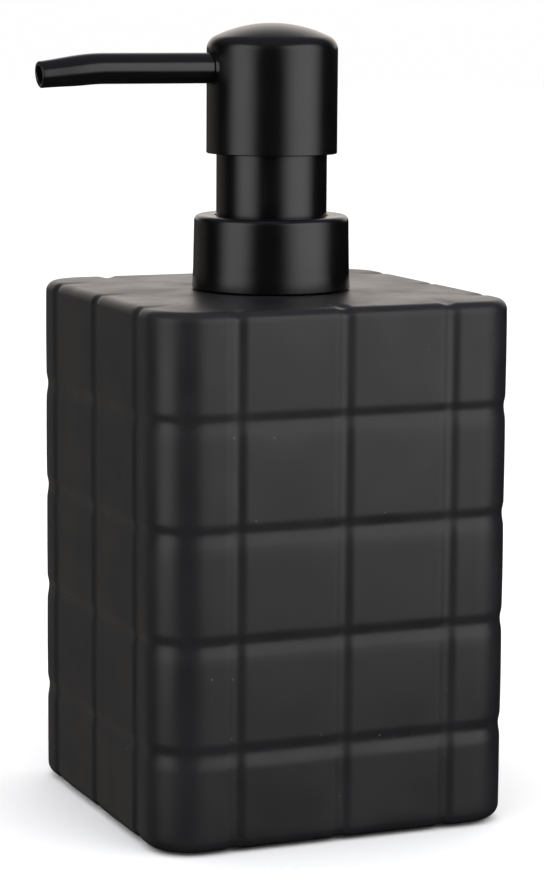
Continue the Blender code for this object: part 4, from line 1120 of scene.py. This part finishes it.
def camera():
    back = toward(VIEW_AZIMUTH, VIEW_ELEVATION)
    right = Vector((0, 0, 1)).cross(back).normalized()
    up = back.cross(right)
    rolled_right = right * math.cos(VIEW_ROLL) + up * math.sin(VIEW_ROLL)
    rolled_up = up * math.cos(VIEW_ROLL) - right * math.sin(VIEW_ROLL)
    place = Vector((0, 0, VIEW_HEIGHT)) + right * VIEW_SIDE + back * VIEW_DISTANCE
    data = bpy.data.cameras.new("camera")
    data.sensor_fit = "VERTICAL"
    data.sensor_height = 36.0
    data.lens = LENS_MM
    holder = bpy.data.objects.new("camera", data)
    turn = Matrix((rolled_right, rolled_up, back)).transposed().to_4x4()
    holder.matrix_world = Matrix.Translation(place) @ turn
    put_in_scene(holder)
    bpy.context.scene.camera = holder


def pale_floor():
    """Wide matte pale floor."""
    material, tree, shader = new_finish("matte pale sweep", Roughness=1.0, Specular_IOR_Level=0.0)
    place = add_node(tree, "ShaderNodeTexCoord").outputs["Object"]
    mottle = add_node(tree, "ShaderNodeTexNoise", {"Vector": place, "Scale": per(400), "Detail": 1.0})
    tone = add_node(
        tree, "ShaderNodeMix",
        {"Factor": mottle.outputs["Fac"], 6: linear("#f3f3f2"), 7: linear("#f6f6f5")}, data_type="RGBA",
    )
    tree.links.new(tone.outputs[2], shader.inputs["Base Color"])
    shape = bmesh.new()
    bmesh.ops.create_grid(shape, x_segments=1, y_segments=1, size=1.5 * BACKDROP_RADIUS)
    floor = made_from(shape, "floor")
    floor.data.materials.append(material)
    put_in_scene(floor)
    floor.visible_glossy = False


def pale_backdrop():
    """White paper all round, far off, that only the camera sees and that lights nothing."""
    material, tree, shader = new_finish(
        "white paper backdrop", Base_Color=linear("#000000"), Roughness=1.0, Specular_IOR_Level=0.0,
        Emission_Strength=1.0,
    )
    place = add_node(tree, "ShaderNodeTexCoord").outputs["Object"]
    fibre = add_node(tree, "ShaderNodeTexNoise", {"Vector": place, "Scale": per(30000), "Detail": 1.0})
    tone = add_node(
        tree, "ShaderNodeMix",
        {"Factor": fibre.outputs["Fac"], 6: linear("#fefefe"), 7: linear("#ffffff")}, data_type="RGBA",
    )
    tree.links.new(tone.outputs[2], shader.inputs["Emission Color"])
    shape = bmesh.new()
    bmesh.ops.create_uvsphere(shape, u_segments=64, v_segments=32, radius=BACKDROP_RADIUS)
    wall = made_from(shape, "backdrop")
    wall.data.materials.append(material)
    put_in_scene(wall)
    wall.visible_glossy = wall.visible_diffuse = wall.visible_shadow = wall.visible_transmission = False


def softbox(name, azimuth, elevation, distance, width, height, power):
    """A soft rectangular light on the object's middle, brightest along its own upright middle line."""
    data = bpy.data.lights.new(name, "AREA")
    data.shape = "RECTANGLE"
    data.size, data.size_y = width, height
    data.energy = power
    data.use_nodes = True
    tree = data.node_tree
    place = add_node(tree, "ShaderNodeNewGeometry").outputs["Parametric"]
    across = add_node(tree, "ShaderNodeSeparateXYZ", {0: place}).outputs["X"]
    from_edge = add_node(tree, "ShaderNodeMath", {0: across, 1: 0.5}, operation="PINGPONG")
    fade = add_node(
        tree, "ShaderNodeMapRange",
        {"Value": from_edge.outputs[0], "From Min": 0.0, "From Max": 0.42, "To Min": 0.0, "To Max": 1.0},
        interpolation_type="SMOOTHSTEP",
    )
    tree.links.new(fade.outputs["Result"], tree.nodes["Emission"].inputs["Strength"])
    holder = bpy.data.objects.new(name, data)
    out = toward(math.radians(azimuth), math.radians(elevation))
    place = Vector((0, 0, (CAD_BOX[0][2] + CAD_BOX[1][2]) / 2)) + out * distance
    holder.matrix_world = Matrix.Translation(place) @ out.to_track_quat("Z", "Y").to_matrix().to_4x4()
    holder.visible_camera = False
    put_in_scene(holder)


def overhead_light():
    """Even soft light from above, which lights the floor and leaves no highlight."""
    data = bpy.data.lights.new("overhead", "SUN")
    data.energy = 3.3
    data.angle = math.radians(120)
    holder = bpy.data.objects.new("overhead", data)
    holder.visible_glossy = False
    put_in_scene(holder)


def glow_towards(tree, way, azimuth, elevation, full, gone, strength):
    """Strength of a soft round glow in one direction: full within one angle of it, gone past another."""
    middle = toward(math.radians(azimuth), math.radians(elevation))
    nearness = add_node(tree, "ShaderNodeVectorMath", {0: way, 1: middle}, operation="DOT_PRODUCT")
    edges = {"From Min": math.cos(math.radians(gone)), "From Max": math.cos(math.radians(full))}
    return add_node(
        tree, "ShaderNodeMapRange",
        {"Value": nearness.outputs["Value"], **edges, "To Min": 0.0, "To Max": strength},
        interpolation_type="SMOOTHSTEP",
    ).outputs["Result"]


def studio():
    """Dark surroundings with a bright backdrop behind, a cool ceiling and a faint wall at the left."""
    world = bpy.data.worlds.new("studio")
    bpy.context.scene.world = world
    world.use_nodes = True
    tree = world.node_tree
    tree.nodes.clear()
    way = add_node(tree, "ShaderNodeTexCoord").outputs["Generated"]
    height = add_node(tree, "ShaderNodeSeparateXYZ", {0: way}).outputs["Z"]
    above_bench = add_node(
        tree, "ShaderNodeMapRange",
        {"Value": height, "From Min": 0.0, "From Max": 0.12, "To Min": 0.0, "To Max": 1.0},
        interpolation_type="SMOOTHSTEP",
    )
    backdrop = add_node(
        tree, "ShaderNodeMath",
        {
            0: glow_towards(tree, way, azimuth=157, elevation=6, full=6, gone=46, strength=1.3),
            1: above_bench.outputs["Result"],
        },
        operation="MULTIPLY",
    )
    ceiling = glow_towards(tree, way, azimuth=0, elevation=90, full=20, gone=75, strength=0.28)
    side_wall = glow_towards(tree, way, azimuth=-157, elevation=-10, full=8, gone=34, strength=0.15)
    lit = []
    glows = ("#fff6ee", backdrop.outputs[0]), ("#dfe2ff", ceiling), ("#fff8ee", side_wall)
    for colour, strength in glows:
        light = add_node(tree, "ShaderNodeBackground", {"Color": linear(colour), "Strength": strength})
        lit.append(light.outputs[0])
    first = add_node(tree, "ShaderNodeAddShader", {0: lit[0], 1: lit[1]})
    both = add_node(tree, "ShaderNodeAddShader", {0: first.outputs[0], 1: lit[2]})
    add_node(tree, "ShaderNodeOutputWorld", {"Surface": both.outputs[0]})


camera()
pale_floor()
pale_backdrop()
studio()
overhead_light()
softbox("left_softbox", azimuth=-76, elevation=12, distance=0.75, width=1.0, height=0.8, power=4.5)
softbox("right_softbox", azimuth=34, elevation=14, distance=0.75, width=1.45, height=0.8, power=7.3)
bpy.context.scene.view_settings.view_transform = "Standard"

quilted_body()
foot_pad()
collar()
chimney()
domed_cap()
spout()
coil_spring()
neck_and_seals()
screw_ring()
pump_works()
kept_head_core()
